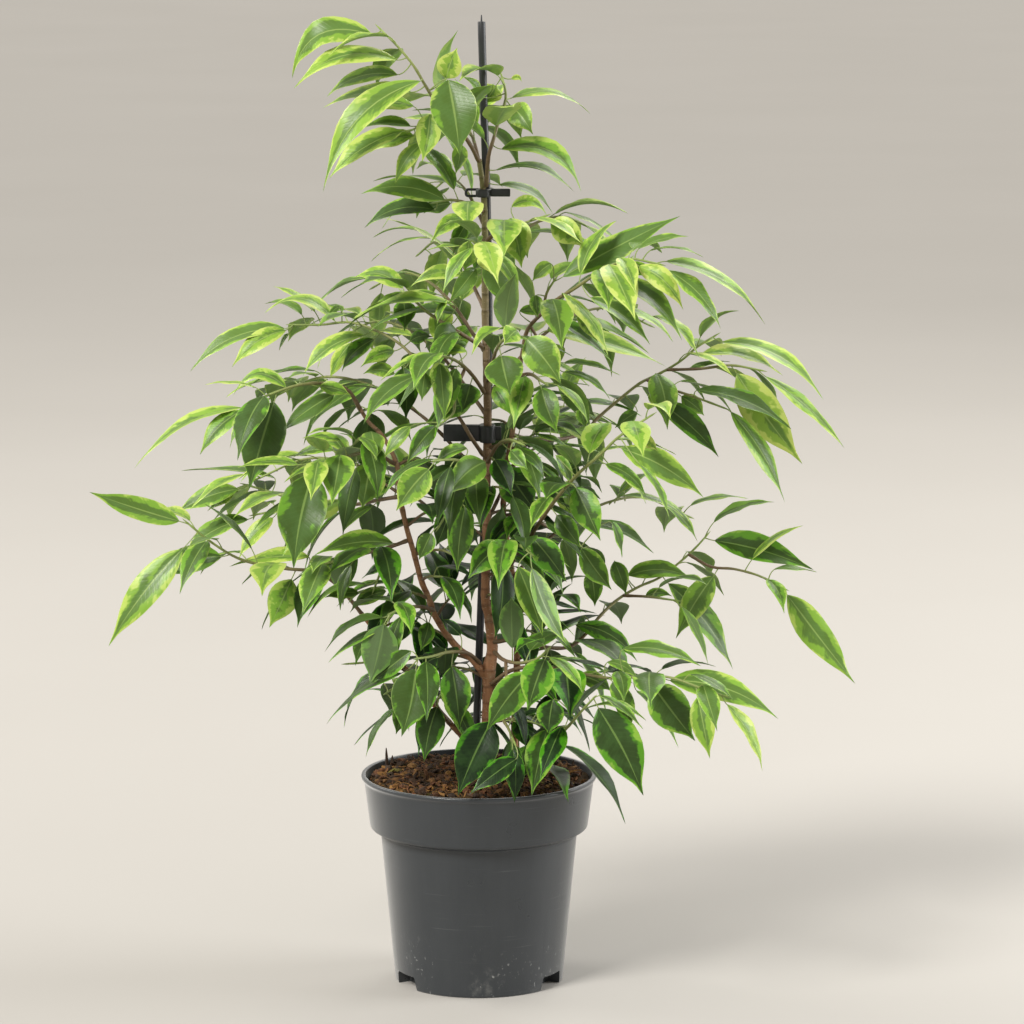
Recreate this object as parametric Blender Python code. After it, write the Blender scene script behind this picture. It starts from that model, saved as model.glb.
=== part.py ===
"""A variegated weeping fig in a grey nursery pot, tied to a thin stake.

Lengths in the tables are millimetres and the meshes are written in metres, +Z up.
The origin is on the floor under the middle of the pot.
A place is given as it is seen from the front: how far across, how far up, and how much
nearer to the viewer than the upright plane through the pot's middle.
"""
import itertools
import math
import random

import bmesh
import bpy
from mathutils import Vector
from mathutils.bvhtree import BVHTree

UNIT = 0.001

# Driving dimensions
RIM_RADIUS = 105.0
POT_HEIGHT = 187.0
FOOT_RADIUS = 75.0
BODY_RADIUS = 88.0
COLLAR_RADIUS = 97.5
COLLAR_HEIGHT = 48.5
WALL = 1.8
FLOOR_THICKNESS = 2.5
SOIL_LEVEL = 181.5
STAKE_TOP = 855.0
STAKE_RADIUS = 3.4
GAP = 0.35

# The view that the places in the tables are read from
EYE = Vector((29.5, -4200.0, 1126.0))
EYE_DISTANCE = 4200.0

# Leaf proportions
LEAF_THICKNESS = 1.5
STALK_WIDTH = 1.3
BLADE_FOOT_WIDTH = 2.0
STALK_LENGTH = 9.0
WIDEST_RATIO = 0.42
CLEARANCE = 1.2
LOWEST_LEAF = 8.0

SEED = 11

# Faces that meet at less than the flat angle are one face, and at more than the sharp angle an edge
FLAT_ANGLE = math.radians(1.5)
SHARP_ANGLE = math.radians(40)

# Colour and roughness of each kind of surface
GREEN = ((0.085, 0.235, 0.035, 1.0), 0.35)
BARK = ((0.23, 0.105, 0.045, 1.0), 0.7)
POT_GREY = ((0.115, 0.118, 0.12, 1.0), 0.42)
SOIL_BROWN = ((0.055, 0.03, 0.018, 1.0), 0.9)
STAKE_BLACK = ((0.012, 0.013, 0.014, 1.0), 0.45)
CLIP_BLACK = ((0.012, 0.013, 0.014, 1.0), 0.4)


def seen_at(across, up, nearer=0.0):
    """The point seen at (across, up) that lies this much nearer than the middle plane."""
    flat = Vector((across, 0.0, up))
    return flat + (EYE - flat) * (nearer / EYE_DISTANCE)


def lerp(low, high, share):
    return low + (high - low) * share


def make_object(name, verts, faces, surface, smooth=True):
    """One closed piece of the given points in millimetres, with its own material."""
    mesh = bpy.data.meshes.new(name)
    mesh.from_pydata([(x * UNIT, y * UNIT, z * UNIT) for x, y, z in verts], [], faces)
    mesh.validate()
    obj = bpy.data.objects.new(name, mesh)
    bpy.context.scene.collection.objects.link(obj)
    paint(obj, surface)
    if smooth:
        finish_shading(obj)
    return obj


def finish_shading(obj):
    obj.data.shade_smooth()
    obj.data.set_sharp_from_angle(angle=SHARP_ANGLE)


def paint(obj, surface):
    colour, roughness = surface
    material = bpy.data.materials.new(obj.name)
    material.use_nodes = True
    shader = material.node_tree.nodes["Principled BSDF"]
    shader.inputs["Base Color"].default_value = colour
    shader.inputs["Roughness"].default_value = roughness
    shader.inputs["Metallic"].default_value = 0.0
    material.diffuse_color = colour
    obj.data.materials.clear()
    obj.data.materials.append(material)


def tube(points, radii, sides, grow=0.0):
    """A closed tube along the points. Its rings keep their turn from one to the next."""
    points = [Vector(p) for p in points]
    if grow:
        first = (points[0] - points[1]).normalized() * grow
        last = (points[-1] - points[-2]).normalized() * grow
        points[0] = points[0] + first
        points[-1] = points[-1] + last
    verts = []
    faces = []
    side = None
    for i, point in enumerate(points):
        before = points[max(i - 1, 0)]
        after = points[min(i + 1, len(points) - 1)]
        ahead = (after - before).normalized()
        if side is None:
            side = ahead.orthogonal().normalized()
        side = (side - ahead * side.dot(ahead)).normalized()
        other = ahead.cross(side)
        radius = radii[i] + grow
        for k in range(sides):
            turn = 2 * math.pi * k / sides
            verts.append(point + (side * math.cos(turn) + other * math.sin(turn)) * radius)
    for i in range(len(points) - 1):
        for k in range(sides):
            low = i * sides
            high = low + sides
            n = (k + 1) % sides
            faces.append((low + k, low + n, high + n, high + k))
    faces.append(tuple(reversed(range(sides))))
    end = (len(points) - 1) * sides
    faces.append(tuple(end + k for k in range(sides)))
    return verts, faces


def turned(profile, segments, wobble=None):
    """A solid turned about the pot's axis. The profile runs from the axis under the piece,
    out, up and back to the axis on top."""
    verts = []
    faces = []
    rings = []
    for radius, height in profile:
        if radius == 0.0:
            rings.append([len(verts)])
            verts.append((0.0, 0.0, height))
            continue
        rings.append(list(range(len(verts), len(verts) + segments)))
        for k in range(segments):
            turn = 2 * math.pi * k / segments
            x = radius * math.cos(turn)
            y = radius * math.sin(turn)
            rise = wobble(x, y, height) if wobble else 0.0
            verts.append((x, y, height + rise))
    for low, high in zip(rings, rings[1:]):
        for k in range(segments):
            n = (k + 1) % segments
            if len(low) == 1:
                faces.append((low[0], high[n], high[k]))
            elif len(high) == 1:
                faces.append((low[k], low[n], high[0]))
            else:
                faces.append((low[k], low[n], high[n], high[k]))
    return verts, faces


def box(low, high):
    """Points and faces of an upright block between two corners."""
    verts = [(x, y, z) for z in (low[2], high[2]) for x, y in
             ((low[0], low[1]), (high[0], low[1]), (high[0], high[1]), (low[0], high[1]))]
    faces = [(3, 2, 1, 0), (4, 5, 6, 7)]
    for k in range(4):
        n = (k + 1) % 4
        faces.append((k, n, n + 4, k + 4))
    return verts, faces


def is_closed(mesh):
    """Whether every edge of the mesh has two faces."""
    uses = {}
    for face in mesh.polygons:
        for key in face.edge_keys:
            uses[key] = uses.get(key, 0) + 1
    return bool(uses) and all(count == 2 for count in uses.values())


def combine(obj, others, operation):
    """Apply one Boolean with a collection of other pieces, which are then removed."""
    group = bpy.data.collections.new("operands")
    bpy.context.scene.collection.children.link(group)
    for other in others:
        bpy.context.scene.collection.objects.unlink(other)
        group.objects.link(other)
    step = obj.modifiers.new("combine", "BOOLEAN")
    step.operation = operation
    step.operand_type = "COLLECTION"
    step.collection = group
    for solver in ("EXACT", "MANIFOLD"):
        step.solver = solver
        graph = bpy.context.evaluated_depsgraph_get()
        joined = bpy.data.meshes.new_from_object(obj.evaluated_get(graph))
        if is_closed(joined):
            break
    obj.modifiers.remove(step)
    before = obj.data
    obj.data = joined
    bpy.data.meshes.remove(before)
    for other in others:
        mesh = other.data
        bpy.data.objects.remove(other)
        bpy.data.meshes.remove(mesh)
    bpy.data.collections.remove(group)


def guide(name, verts, faces):
    """A helper solid that is used up by a Boolean."""
    return make_object(name, verts, faces, CLIP_BLACK, smooth=False)


# Pot, soil, stake and clips

POT_SEGMENTS = 30
NOTCH_COUNT = 3
NOTCH_FOOT_WIDTH = 36.0
NOTCH_TOP_WIDTH = 29.0
NOTCH_HEIGHT = 12.3
NOTCH_DEPTH = 14.0
DRAIN_COUNT = 4
DRAIN_RADIUS = 4.0
DRAIN_CIRCLE = 44.0
DRAIN_SIDES = 6

# The pot's lip: how far it stands out of the collar, where its slope and its edge start below
# the top, how much its corner is eased, and how wide it is on top
LIP_REACH = 3.0
LIP_SLOPE_DROP = 4.6
LIP_EDGE_DROP = 2.4
LIP_EASE = 0.7
LIP_WIDTH = 4.2


def pot_profile():
    """From under the foot, up the outside, over the lip and down the inside. The small numbers
    are the slopes and eased corners beside each main dimension."""
    step = POT_HEIGHT - COLLAR_HEIGHT
    outside = [
        (0.0, 0.0), (FOOT_RADIUS - 1.0, 0.0), (FOOT_RADIUS, 1.5), (BODY_RADIUS - 0.4, step - 4.0),
        (COLLAR_RADIUS - 2.0, step), (COLLAR_RADIUS, step + 3.0),
    ]
    lip = [
        (RIM_RADIUS - LIP_REACH, POT_HEIGHT - LIP_SLOPE_DROP), (RIM_RADIUS, POT_HEIGHT - LIP_EDGE_DROP),
        (RIM_RADIUS - LIP_EASE, POT_HEIGHT), (RIM_RADIUS - LIP_WIDTH, POT_HEIGHT),
    ]
    inside = [
        (COLLAR_RADIUS - WALL, step + 4.0), (COLLAR_RADIUS - WALL - 2.0, step + 2.0),
        (BODY_RADIUS - WALL - 0.4, step - 2.2), (FOOT_RADIUS - WALL + 0.2, FLOOR_THICKNESS + 1.0),
        (FOOT_RADIUS - WALL - 1.2, FLOOR_THICKNESS), (0.0, FLOOR_THICKNESS),
    ]
    return outside + lip + inside


def foot_block(k, inner, outer, widen, low, high):
    """A block across the pot's foot at notch number k, narrower at its top."""
    turn = math.radians(90 + 120 * k)
    outward = Vector((math.cos(turn), math.sin(turn), 0.0))
    along = Vector((-outward.y, outward.x, 0.0))
    verts = []
    for height, width in ((low, NOTCH_FOOT_WIDTH), (high, NOTCH_TOP_WIDTH)):
        spread = width / 2 + widen
        for reach, sign in ((inner, -1), (outer, -1), (outer, 1), (inner, 1)):
            corner = outward * reach + along * (sign * spread)
            verts.append((corner.x, corner.y, height))
    return verts, box((0, 0, 0), (1, 1, 1))[1]


PAD_FOOT = 0.5
PLUG_LOW = 1.0
PLUG_HIGH = 31.0
PLUG_GROWTH = 4


def notch_pads(grow=0.0):
    """The walls inside the pot round each notch, as solid blocks that the notch is cut into.
    A plug as wide as the middle of the pot's wall trims their outer ends."""
    inner = FOOT_RADIUS - NOTCH_DEPTH - WALL - grow
    top = NOTCH_HEIGHT + WALL + grow
    slope = (BODY_RADIUS - FOOT_RADIUS) / (POT_HEIGHT - COLLAR_HEIGHT)
    reach = FOOT_RADIUS - WALL / 2 + grow * PLUG_GROWTH
    wider = reach + slope * (PLUG_HIGH - PLUG_LOW)
    plug = [(0.0, PLUG_LOW), (reach, PLUG_LOW), (wider, PLUG_HIGH), (0.0, PLUG_HIGH)]
    pads = []
    for k in range(NOTCH_COUNT):
        pad = guide("pad", *foot_block(k, inner, FOOT_RADIUS + NOTCH_DEPTH, WALL + grow, PAD_FOOT, top))
        combine(pad, [guide("plug", *turned(plug, POT_SEGMENTS))], "INTERSECT")
        pads.append(pad)
    return pads


def build_pot():
    pot = make_object("pot", *turned(pot_profile(), POT_SEGMENTS), POT_GREY)
    combine(pot, notch_pads(), "UNION")
    inner = FOOT_RADIUS - NOTCH_DEPTH
    outer = FOOT_RADIUS + NOTCH_DEPTH
    cutters = []
    for k in range(NOTCH_COUNT):
        cutters.append(guide("notch", *foot_block(k, inner, outer, 0.0, -1.0, NOTCH_HEIGHT)))
    for k in range(DRAIN_COUNT):
        turn = math.radians(90 * k + 45)
        x = DRAIN_CIRCLE * math.cos(turn)
        y = DRAIN_CIRCLE * math.sin(turn)
        points = [(x, y, -2.0), (x, y, FLOOR_THICKNESS + 2.0)]
        cutters.append(guide("drain", *tube(points, [DRAIN_RADIUS] * 2, DRAIN_SIDES)))
    combine(pot, cutters, "DIFFERENCE")
    finish_shading(pot)
    return pot


# The soil's top, from its edge to the middle: radius, height over the soil level
SOIL_MOUND = [(98.6, -3.5), (90.0, -0.2), (64.0, 1.2), (34.0, 2.4), (0.0, 3.0)]

# The room that leaves leave for the soil: radius, height
SOIL_ROOM = [(0.0, 0.0), (95.0, 0.0), (97.0, SOIL_LEVEL), (80.0, SOIL_LEVEL + 3.5),
             (0.0, SOIL_LEVEL + 5.0)]


# Lumps of the soil's top: how high, and how many radians a millimetre takes across and backwards
BROAD_LUMPS = (1.3, 0.21, 0.17)
FINE_LUMPS = (1.0, 0.43, 0.37)
LUMP_PHASE = 1.0
LUMP_LIMIT = 96.0
LUMP_FADE = 20.0
TOP_RINGS_FROM = SOIL_LEVEL - 3.0


def soil_height(x, y, height):
    """Lumps of the soil's top. Only the rings on the top are lifted."""
    if height < TOP_RINGS_FROM:
        return 0.0
    tall, across, back = BROAD_LUMPS
    lumps = tall * math.sin(x * across + LUMP_PHASE) * math.cos(y * back)
    tall, across, back = FINE_LUMPS
    lumps += tall * math.sin(x * across - y * back)
    fade = max(0.0, min(1.0, (LUMP_LIMIT - math.hypot(x, y)) / LUMP_FADE))
    return lumps * fade


def build_soil(cutters):
    """The root ball fills the pot up to a low mound. The small numbers keep it inside the wall."""
    step = POT_HEIGHT - COLLAR_HEIGHT
    profile = [
        (0.0, FLOOR_THICKNESS + GAP), (FOOT_RADIUS - WALL - 1.7, FLOOR_THICKNESS + GAP),
        (FOOT_RADIUS - WALL - 0.3, FLOOR_THICKNESS + 1.5), (BODY_RADIUS - WALL - 0.9, step - 2.0),
        (COLLAR_RADIUS - WALL - 2.6, step + 2.4), (COLLAR_RADIUS - WALL - 0.6, step + 4.4),
    ] + [(radius, SOIL_LEVEL + rise) for radius, rise in SOIL_MOUND]
    soil = make_object("soil", *turned(profile, POT_SEGMENTS, soil_height), SOIL_BROWN)
    combine(soil, cutters + notch_pads(GAP), "DIFFERENCE")
    finish_shading(soil)
    return soil


STAKE_NEARER = -9.5
STAKE_FOOT = 24.0
STAKE_FOOT_ACROSS = -4.0
STAKE_TOP_ACROSS = 3.0
PIN_BASE = 0.4
PIN_HEIGHT = 6.5
PIN_RADII = [0.8, 0.6]
STAKE_ROUTE = [(-3.5, 120), (-3, 190), (-1, 260), (2, 340), (5.5, 430), (8.5, 520), (9, 610), (7.5, 700),
               (5, 780)]


def stake_points():
    """The stake's route and radii: a slim rod with a short pin on its top."""
    points = [Vector((STAKE_FOOT_ACROSS, -STAKE_NEARER, STAKE_FOOT))]
    points += [seen_at(across, up, STAKE_NEARER) for across, up in STAKE_ROUTE]
    top = seen_at(STAKE_TOP_ACROSS, STAKE_TOP, STAKE_NEARER)
    points += [top, top + Vector((0, 0, PIN_BASE)), top + Vector((0, 0, PIN_HEIGHT))]
    radii = [STAKE_RADIUS] * (len(points) - len(PIN_RADII)) + PIN_RADII
    return points, radii


# Stems

TRUNK_ROUTE = [(10, 140, 0), (9, 182, 0), (8, 233, 0), (9, 262, 0), (9, 281, 0), (12, 300, 0),
               (9, 330, 0), (6, 346, 0), (7, 400, 0), (7, 440, 0), (8, 500, 0), (7, 560, 0), (6, 600, 0),
               (6, 650, 0), (5, 700, 0), (1, 735, 0)]
TRUNK_RADII = [6.2, 6.2, 5.4, 5.6, 6.2, 4.8, 4.3, 4.1, 3.8, 3.6, 3.5, 3.3, 3.2, 3.0, 2.7, 2.1]
LIMB_ROUTE = [(8, 272, 1), (-5, 290, 4), (-20, 302, 6), (-38, 328, 8), (-44, 345, 10), (-51, 362, 12),
              (-57, 385, 14), (-64, 410, 14), (-70, 440, 16), (-72, 465, 16), (-84, 490, 18),
              (-98, 505, 20), (-108, 523, 22)]
LIMB_RADII = [3.7, 3.4, 3.1, 2.8, 2.6, 2.5, 2.4, 2.3, 2.2, 2.1, 1.9, 1.7, 1.5]
LEFT_ROUTE = [(2, 150, -44), (-3, 190, -44), (-14, 218, -42), (-22, 228, -40), (-47, 258, -36),
              (-78, 299, -30), (-104, 331, -24)]
LEFT_RADII = [2.9, 2.8, 2.6, 2.5, 2.3, 2.1, 1.8]
RIGHT_ROUTE = [(30, 150, -64), (32, 192, -66), (32, 233, -62), (34, 290, -50), (33, 330, -40),
               (28, 378, -30), (22, 420, -20), (24, 460, -8), (30, 495, 4), (34, 530, 14), (38, 562, 20)]
RIGHT_RADII = [3.6, 3.5, 3.3, 3.0, 2.8, 2.7, 2.5, 2.3, 2.2, 2.0, 1.8]
STEM_SIDES = 8
TWIG_SIDES = 4
TWIG_FOOT = 1.9
TWIG_END = 0.9
DEPTH_SPREAD = 2.0


def places(route):
    return [seen_at(*row) for row in route]


STEMS = {
    "trunk": [(places(TRUNK_ROUTE), TRUNK_RADII), (places(LIMB_ROUTE), LIMB_RADII)],
    "stem_left": [(places(LEFT_ROUTE), LEFT_RADII)],
    "stem_right": [(places(RIGHT_ROUTE), RIGHT_RADII)],
}


# Leafy branches
#
# Each branch names the stem that carries it, its route, any side twigs, and its leaves as
# (blade start across, up, tip across, up, seen width, how high the blade arches over its chord,
# and how much nearer the tip is than the start). A negative width shows the underside.
# "fill" is how many further leaves a rule adds, pointing to the front and the back.

SPRAYS = []


def spray(name, carrier, route, leaves, twigs=(), fill=0):
    """Note down one branch. Its depth away from its foot is spread, so the crown is round."""
    foot = route[0][2]
    stems = []
    for rows in [route] + list(twigs):
        points = []
        for across, up, nearer in rows:
            points.append(seen_at(across, up, foot + (nearer - foot) * DEPTH_SPREAD))
        stems.append(points)
    SPRAYS.append({"name": "spray_" + name, "carrier": carrier, "stems": stems, "leaves": leaves,
                   "fill": fill})


# Top of the plant

spray("top_left", "trunk",
      [(1, 733, 0), (-8, 750, 6), (-20, 766, 12), (-34, 781, 18), (-46, 800, 22), (-56, 817, 24),
       (-70, 834, 22), (-84, 848, 18)],
      [(-88, 853, -162, 806, 22, 24, -6), (-66, 822, -161, 797, 15, 16, 10),
       (-70, 809, -132, 790, 12, 9, -22), (-50, 804, -136, 706, 24, 24, 34),
       (-58, 794, -136, 780, 12, 8, -34), (-56, 782, -118, 777, 15, 6, 6),
       (-52, 768, -106, 761, 9, 4, -10), (-66, 760, -131, 718, 18, 8, 20),
       (-56, 756, -95, 741, 14, 5, -26), (-48, 750, -73, 713, 15, 9, 2), (-26, 805, -16, 738, 40, 4, 34),
       (-42, 775, -49, 733, 22, 3, 26), (-13, 757, -20, 722, 14, 2, 16), (-28, 806, -18, 833, 22, 2, 6)],
      twigs=[[(-30, 777, 16), (-44, 768, 20), (-56, 762, 20)]], fill=2)
spray("top_right", "trunk",
      [(7, 712, 3), (9, 738, 8), (13, 752, 8), (18, 770, 4), (24, 788, -2), (22, 803, -8),
       (19, 812, -12)],
      [(29, 789, 98, 775, 6, 12, -26), (28, 786, 48, 757, 22, 5, 26), (18, 746, 90, 707, 15, 20, -6),
       (15, 726, 84, 707, 6, 11, 20), (17, 807, 6, 784, 20, 5, 10), (23, 809, 38, 803, 5, 3, -6),
       (18, 713, 66, 687, 7, 8, -16), (4, 790, -14, 808, 8, 3, -30)], fill=3)
spray("upper_left", "trunk",
      [(4, 690, 2), (-10, 697, 8), (-24, 700, 6), (-36, 698, 2)],
      [(-18, 703, -103, 705, 20, 11, 6), (-24, 697, -48, 688, 14, 4, 24),
       (-38, 691, -100, 675, 14, 9, -16), (-12, 683, -42, 662, 14, 8, 30),
       (-10, 680, -22, 658, 14, 3, -26)], fill=2)
spray("upper_right", "trunk",
      [(7, 664, 3), (20, 674, 10), (38, 679, 14), (56, 685, 14)],
      [(29, 694, 60, 686, 10, 8, -14), (62, 687, 94, 657, 23, 7, 12), (28, 684, 38, 640, 28, 3, 22),
       (12, 664, 36, 650, 10, 3, -24)], fill=2)
spray("centre_upper", "trunk",
      [(5, 632, 4), (4, 645, 16), (2, 656, 32), (1, 660, 50), (2, 656, 66)],
      [(-2, 652, 26, 604, 20, 5, 12), (5, 664, 12, 634, 16, 3, 28), (16, 652, 27, 611, 17, 3, -30),
       (14, 650, 33, 641, 14, 3, -12), (-8, 664, -12, 638, 18, 3, -30), (-2, 640, -27, 608, 16, 6, 22),
       (-14, 634, -60, 623, 13, 8, -16)], fill=2)

# Left side

spray("left_top", "trunk",
      [(4, 570, 3), (-20, 585, 10), (-42, 599, 8), (-58, 613, 2), (-66, 619, -4)],
      [(-66, 622, -110, 631, 15, 8, -30), (-71, 619, -65, 584, 20, 4, 24),
       (-20, 607, -112, 594, 9, 11, 8), (-18, 600, -92, 588, 9, 9, -24), (-10, 580, -42, 569, 18, 12, 24),
       (-28, 612, -36, 590, 7, 3, 20)], fill=2)
spray("left_mid", "trunk",
      [(4, 474, 4), (-6, 489, 14), (-16, 506, 14), (-30, 527, 8), (-42, 545, 0), (-54, 558, -8),
       (-68, 572, -16), (-86, 583, -24), (-112, 592, -34), (-138, 590, -42), (-162, 590, -48)],
      [(-118, 600, -188, 600, 9, 17, -10), (-168, 592, -254, 548, 12, 14, -14),
       (-164, 586, -217, 552, 17, 9, 16), (-163, 584, -175, 567, 4, 2, -4),
       (-60, 575, -40, 579, 12, 3, 24), (-70, 568, -104, 552, 14, 5, 22),
       (-96, 578, -155, 544, 14, 10, 14), (-88, 580, -120, 548, 15, 6, -18),
       (-112, 574, -131, 541, 13, 4, -6), (-122, 606, -133, 596, 6, 3, 10),
       (-66, 552, -64, 505, 24, 3, 34), (-74, 546, -102, 546, 13, 5, 4), (-58, 580, -96, 583, 6, 3, -26)],
      fill=4)
spray("centre_left", "trunk",
      [(5, 530, 4), (-6, 546, 16), (-18, 557, 30), (-32, 562, 44), (-46, 557, 54)],
      [(-10, 566, -53, 551, 9, 9, -24), (-47, 551, -50, 522, 14, 3, 8), (-24, 553, -44, 532, 18, 4, 20),
       (-4, 546, -15, 511, 22, 3, 28), (-6, 520, -48, 501, 19, 6, 24), (-38, 500, -64, 465, 16, 5, 22),
       (-60, 500, -84, 470, 12, 4, 10)], fill=2,
      twigs=[[(-12, 551, 22), (-20, 530, 30), (-22, 512, 34), (-32, 503, 36)]])
spray("limb_tip", "trunk",
      [(-104, 514, 20), (-114, 531, 26), (-128, 537, 30), (-146, 538, 34), (-164, 535, 38),
       (-184, 528, 40), (-200, 521, 40)],
      [(-162, 541, -216, 527, 8, 15, -20), (-176, 528, -203, 443, 38, 5, 20),
       (-206, 520, -304, 462, 9, 12, 6), (-208, 514, -246, 474, 16, 5, 20),
       (-120, 530, -176, 492, 17, 5, 16), (-106, 509, -172, 500, 9, 5, -12),
       (-148, 533, -112, 527, 12, 3, -18), (-96, 497, -122, 496, 12, 4, 14)], fill=3)
spray("limb_upper", "trunk",
      [(-74, 466, 16), (-92, 476, 26), (-112, 474, 40), (-132, 467, 52), (-150, 466, 60)],
      [(-144, 461, -164, 372, 42, 5, 22), (-94, 484, -103, 426, 32, 4, 24),
       (-108, 462, -120, 402, 18, 4, 20), (-122, 487, -156, 489, 8, 3, -10),
       (-128, 478, -164, 472, 9, 3, -34), (-156, 469, -214, 462, 9, 5, 6)], fill=3)
spray("limb_back", "trunk",
      [(-70, 437, 12), (-88, 434, 2), (-108, 430, -10), (-132, 428, -24), (-156, 431, -36),
       (-180, 440, -46), (-204, 447, -52)],
      [(-208, 450, -268, 422, 18, 4, 6), (-180, 454, -263, 460, 6, 4, -16),
       (-176, 422, -213, 380, 15, 4, 14), (-204, 422, -263, 382, 15, 9, 10),
       (-86, 426, -121, 403, 9, 4, 16), (-216, 440, -240, 424, 9, 2, 4),
       (-76, 452, -104, 436, 20, 5, -20)],
      twigs=[[(-156, 431, -36), (-176, 425, -40), (-196, 421, -44)]], fill=4)
spray("limb_lower", "trunk",
      [(-62, 398, 12), (-78, 392, 20), (-100, 386, 30), (-124, 380, 40), (-146, 374, 46)],
      [(-68, 402, -146, 384, 17, 7, 14), (-118, 376, -160, 366, 7, 3, 12),
       (-94, 364, -152, 328, 6, 11, 14), (-72, 378, -104, 363, 8, 3, -10),
       (-106, 350, -137, 346, 10, 3, 6), (-82, 352, -112, 336, 14, 5, -8)],
      twigs=[[(-80, 391, 21), (-86, 372, 22), (-92, 356, 22)]], fill=3)
spray("limb_foot", "trunk",
      [(-40, 335, 12), (-52, 338, 26), (-66, 337, 42), (-78, 332, 56)],
      [(-76, 335, -137, 297, 6, 8, 6), (-84, 322, -97, 268, -32, 4, 10), (-56, 330, -72, 303, 15, 4, 14),
       (-44, 324, -52, 297, 15, 3, 20), (-86, 318, -134, 287, 6, 4, -12)], fill=2)
spray("low_front_left", "trunk",
      [(1, 287, 6), (-10, 296, 18), (-26, 297, 32), (-42, 293, 46), (-54, 291, 56)],
      [(-55, 285, -69, 220, 37, 4, 18), (-60, 298, -96, 268, 17, 4, -6), (-24, 284, -17, 226, 27, 3, 26),
       (-32, 302, -48, 284, 16, 3, -18), (-16, 312, -34, 327, 11, 3, -14),
       (-68, 278, -136, 231, 7, 8, -16)], fill=1)

# Left stem

spray("left_reach", "stem_left",
      [(-101, 328, -24), (-124, 356, -18), (-144, 369, -12), (-168, 372, -8), (-190, 375, -6),
       (-214, 382, -2), (-238, 397, 0), (-256, 412, 2)],
      [(-262, 418, -344, 441, 22, -3, 4), (-222, 382, -292, 365, 24, 6, -14),
       (-262, 390, -329, 302, 27, 8, 14), (-150, 383, -221, 374, 14, 4, 6),
       (-162, 366, -186, 319, 27, 3, 10), (-238, 404, -262, 380, 8, 3, 8)], fill=4)
spray("left_low", "stem_left",
      [(-50, 262, -34), (-60, 268, -22), (-72, 266, -8), (-82, 260, 4)],
      [(-76, 246, -101, 201, 6, 4, 8), (-86, 270, -112, 258, 8, 4, -26),
       (-66, 256, -74, 222, 16, 3, -20)], fill=2)
spray("left_foot", "stem_left",
      [(-26, 232, -38), (-34, 243, -24), (-38, 252, -8), (-34, 258, 8)],
      [(-31, 254, -49, 197, 25, 4, 22), (-27, 232, -38, 204, 17, 3, 16), (-24, 214, -50, 190, 15, 6, 46)],
      fill=1)

# Centre

spray("centre_folded", "trunk",
      [(8, 540, 4), (12, 556, 20), (17, 570, 40), (24, 578, 60), (32, 580, 78)],
      [(15, 574, 28, 527, 34, 3, 20), (42, 578, 73, 537, 31, 6, 14), (34, 585, 22, 572, 18, 3, 24),
       (6, 544, 30, 508, 15, 5, 16)], fill=1)
spray("centre_right", "trunk",
      [(8, 468, 4), (16, 482, 16), (26, 488, 30), (38, 484, 44)],
      [(18, 491, 58, 449, 10, 10, 10), (24, 462, 50, 424, 34, 3, -8), (28, 478, 44, 460, 14, 3, 26),
       (14, 470, 30, 436, 20, 3, 10)], fill=2)
spray("centre_dark", "trunk",
      [(6, 440, 4), (-2, 456, 20), (-10, 466, 38), (-22, 470, 56), (-38, 469, 72)],
      [(6, 468, -29, 436, 26, 5, 22), (-46, 465, -73, 424, 27, 4, 10), (-26, 442, -38, 392, 19, 4, -8),
       (-12, 428, -19, 368, 23, 3, 10), (-10, 480, -40, 462, 10, 5, -24), (-42, 404, -53, 380, 16, 3, 6)],
      twigs=[[(-8, 464, 34), (-18, 448, 36), (-24, 430, 36), (-34, 412, 34)]], fill=1)
spray("centre_low", "trunk",
      [(6, 372, 4), (14, 384, 18), (24, 392, 34), (36, 393, 50), (46, 386, 62)],
      [(22, 394, -10, 362, 25, 4, 30), (21, 378, 14, 308, 21, 3, 12), (30, 364, 28, 322, 13, 2, -14),
       (35, 374, 57, 311, 23, 3, 2), (47, 373, 79, 302, 17, -3, 14), (48, 400, 78, 360, 24, 4, 6)],
      fill=1)
spray("front_low", "trunk",
      [(14, 297, 5), (22, 290, 24), (36, 287, 44), (52, 291, 64), (62, 300, 80)],
      [(66, 303, 43, 243, 29, 5, 20), (46, 279, 6, 224, 29, 5, 12), (11, 234, -19, 166, 36, 4, 22)],
      twigs=[[(24, 289, 28), (24, 272, 38), (20, 258, 46), (16, 246, 50)]], fill=1)

# Right side

spray("right_top", "stem_right",
      [(38, 560, 20), (43, 585, 26), (56, 600, 32), (70, 613, 38), (86, 623, 44), (102, 634, 50),
       (116, 642, 54), (134, 648, 58), (156, 644, 60)],
      [(68, 630, 177, 686, 23, 4, -24), (132, 652, 180, 603, 19, 10, 16),
       (112, 634, 179, 576, 17, 11, 24), (120, 640, 156, 632, 12, 3, -10),
       (164, 646, 252, 590, 11, 12, -16), (166, 638, 213, 586, 15, 7, 14),
       (140, 657, 184, 668, 6, 3, -14), (98, 614, 151, 572, 14, 5, 26), (106, 620, 143, 582, 10, 5, -16),
       (74, 618, 114, 562, 11, 6, 30), (62, 596, 118, 556, 11, 4, 10), (88, 604, 105, 574, 15, 3, -14),
       (50, 616, 52, 596, 12, 2, 14), (64, 644, 47, 628, 13, 3, 8), (36, 602, 60, 596, 9, 3, -16),
       (60, 585, 165, 553, 17, 5, -26), (64, 558, 125, 545, 5, 3, -6), (74, 548, 116, 523, 6, 8, 6)],
      twigs=[[(56, 600, 32), (60, 618, 34), (66, 628, 36)],
             [(46, 588, 27), (56, 572, 18), (66, 558, 12)]], fill=4)
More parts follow.
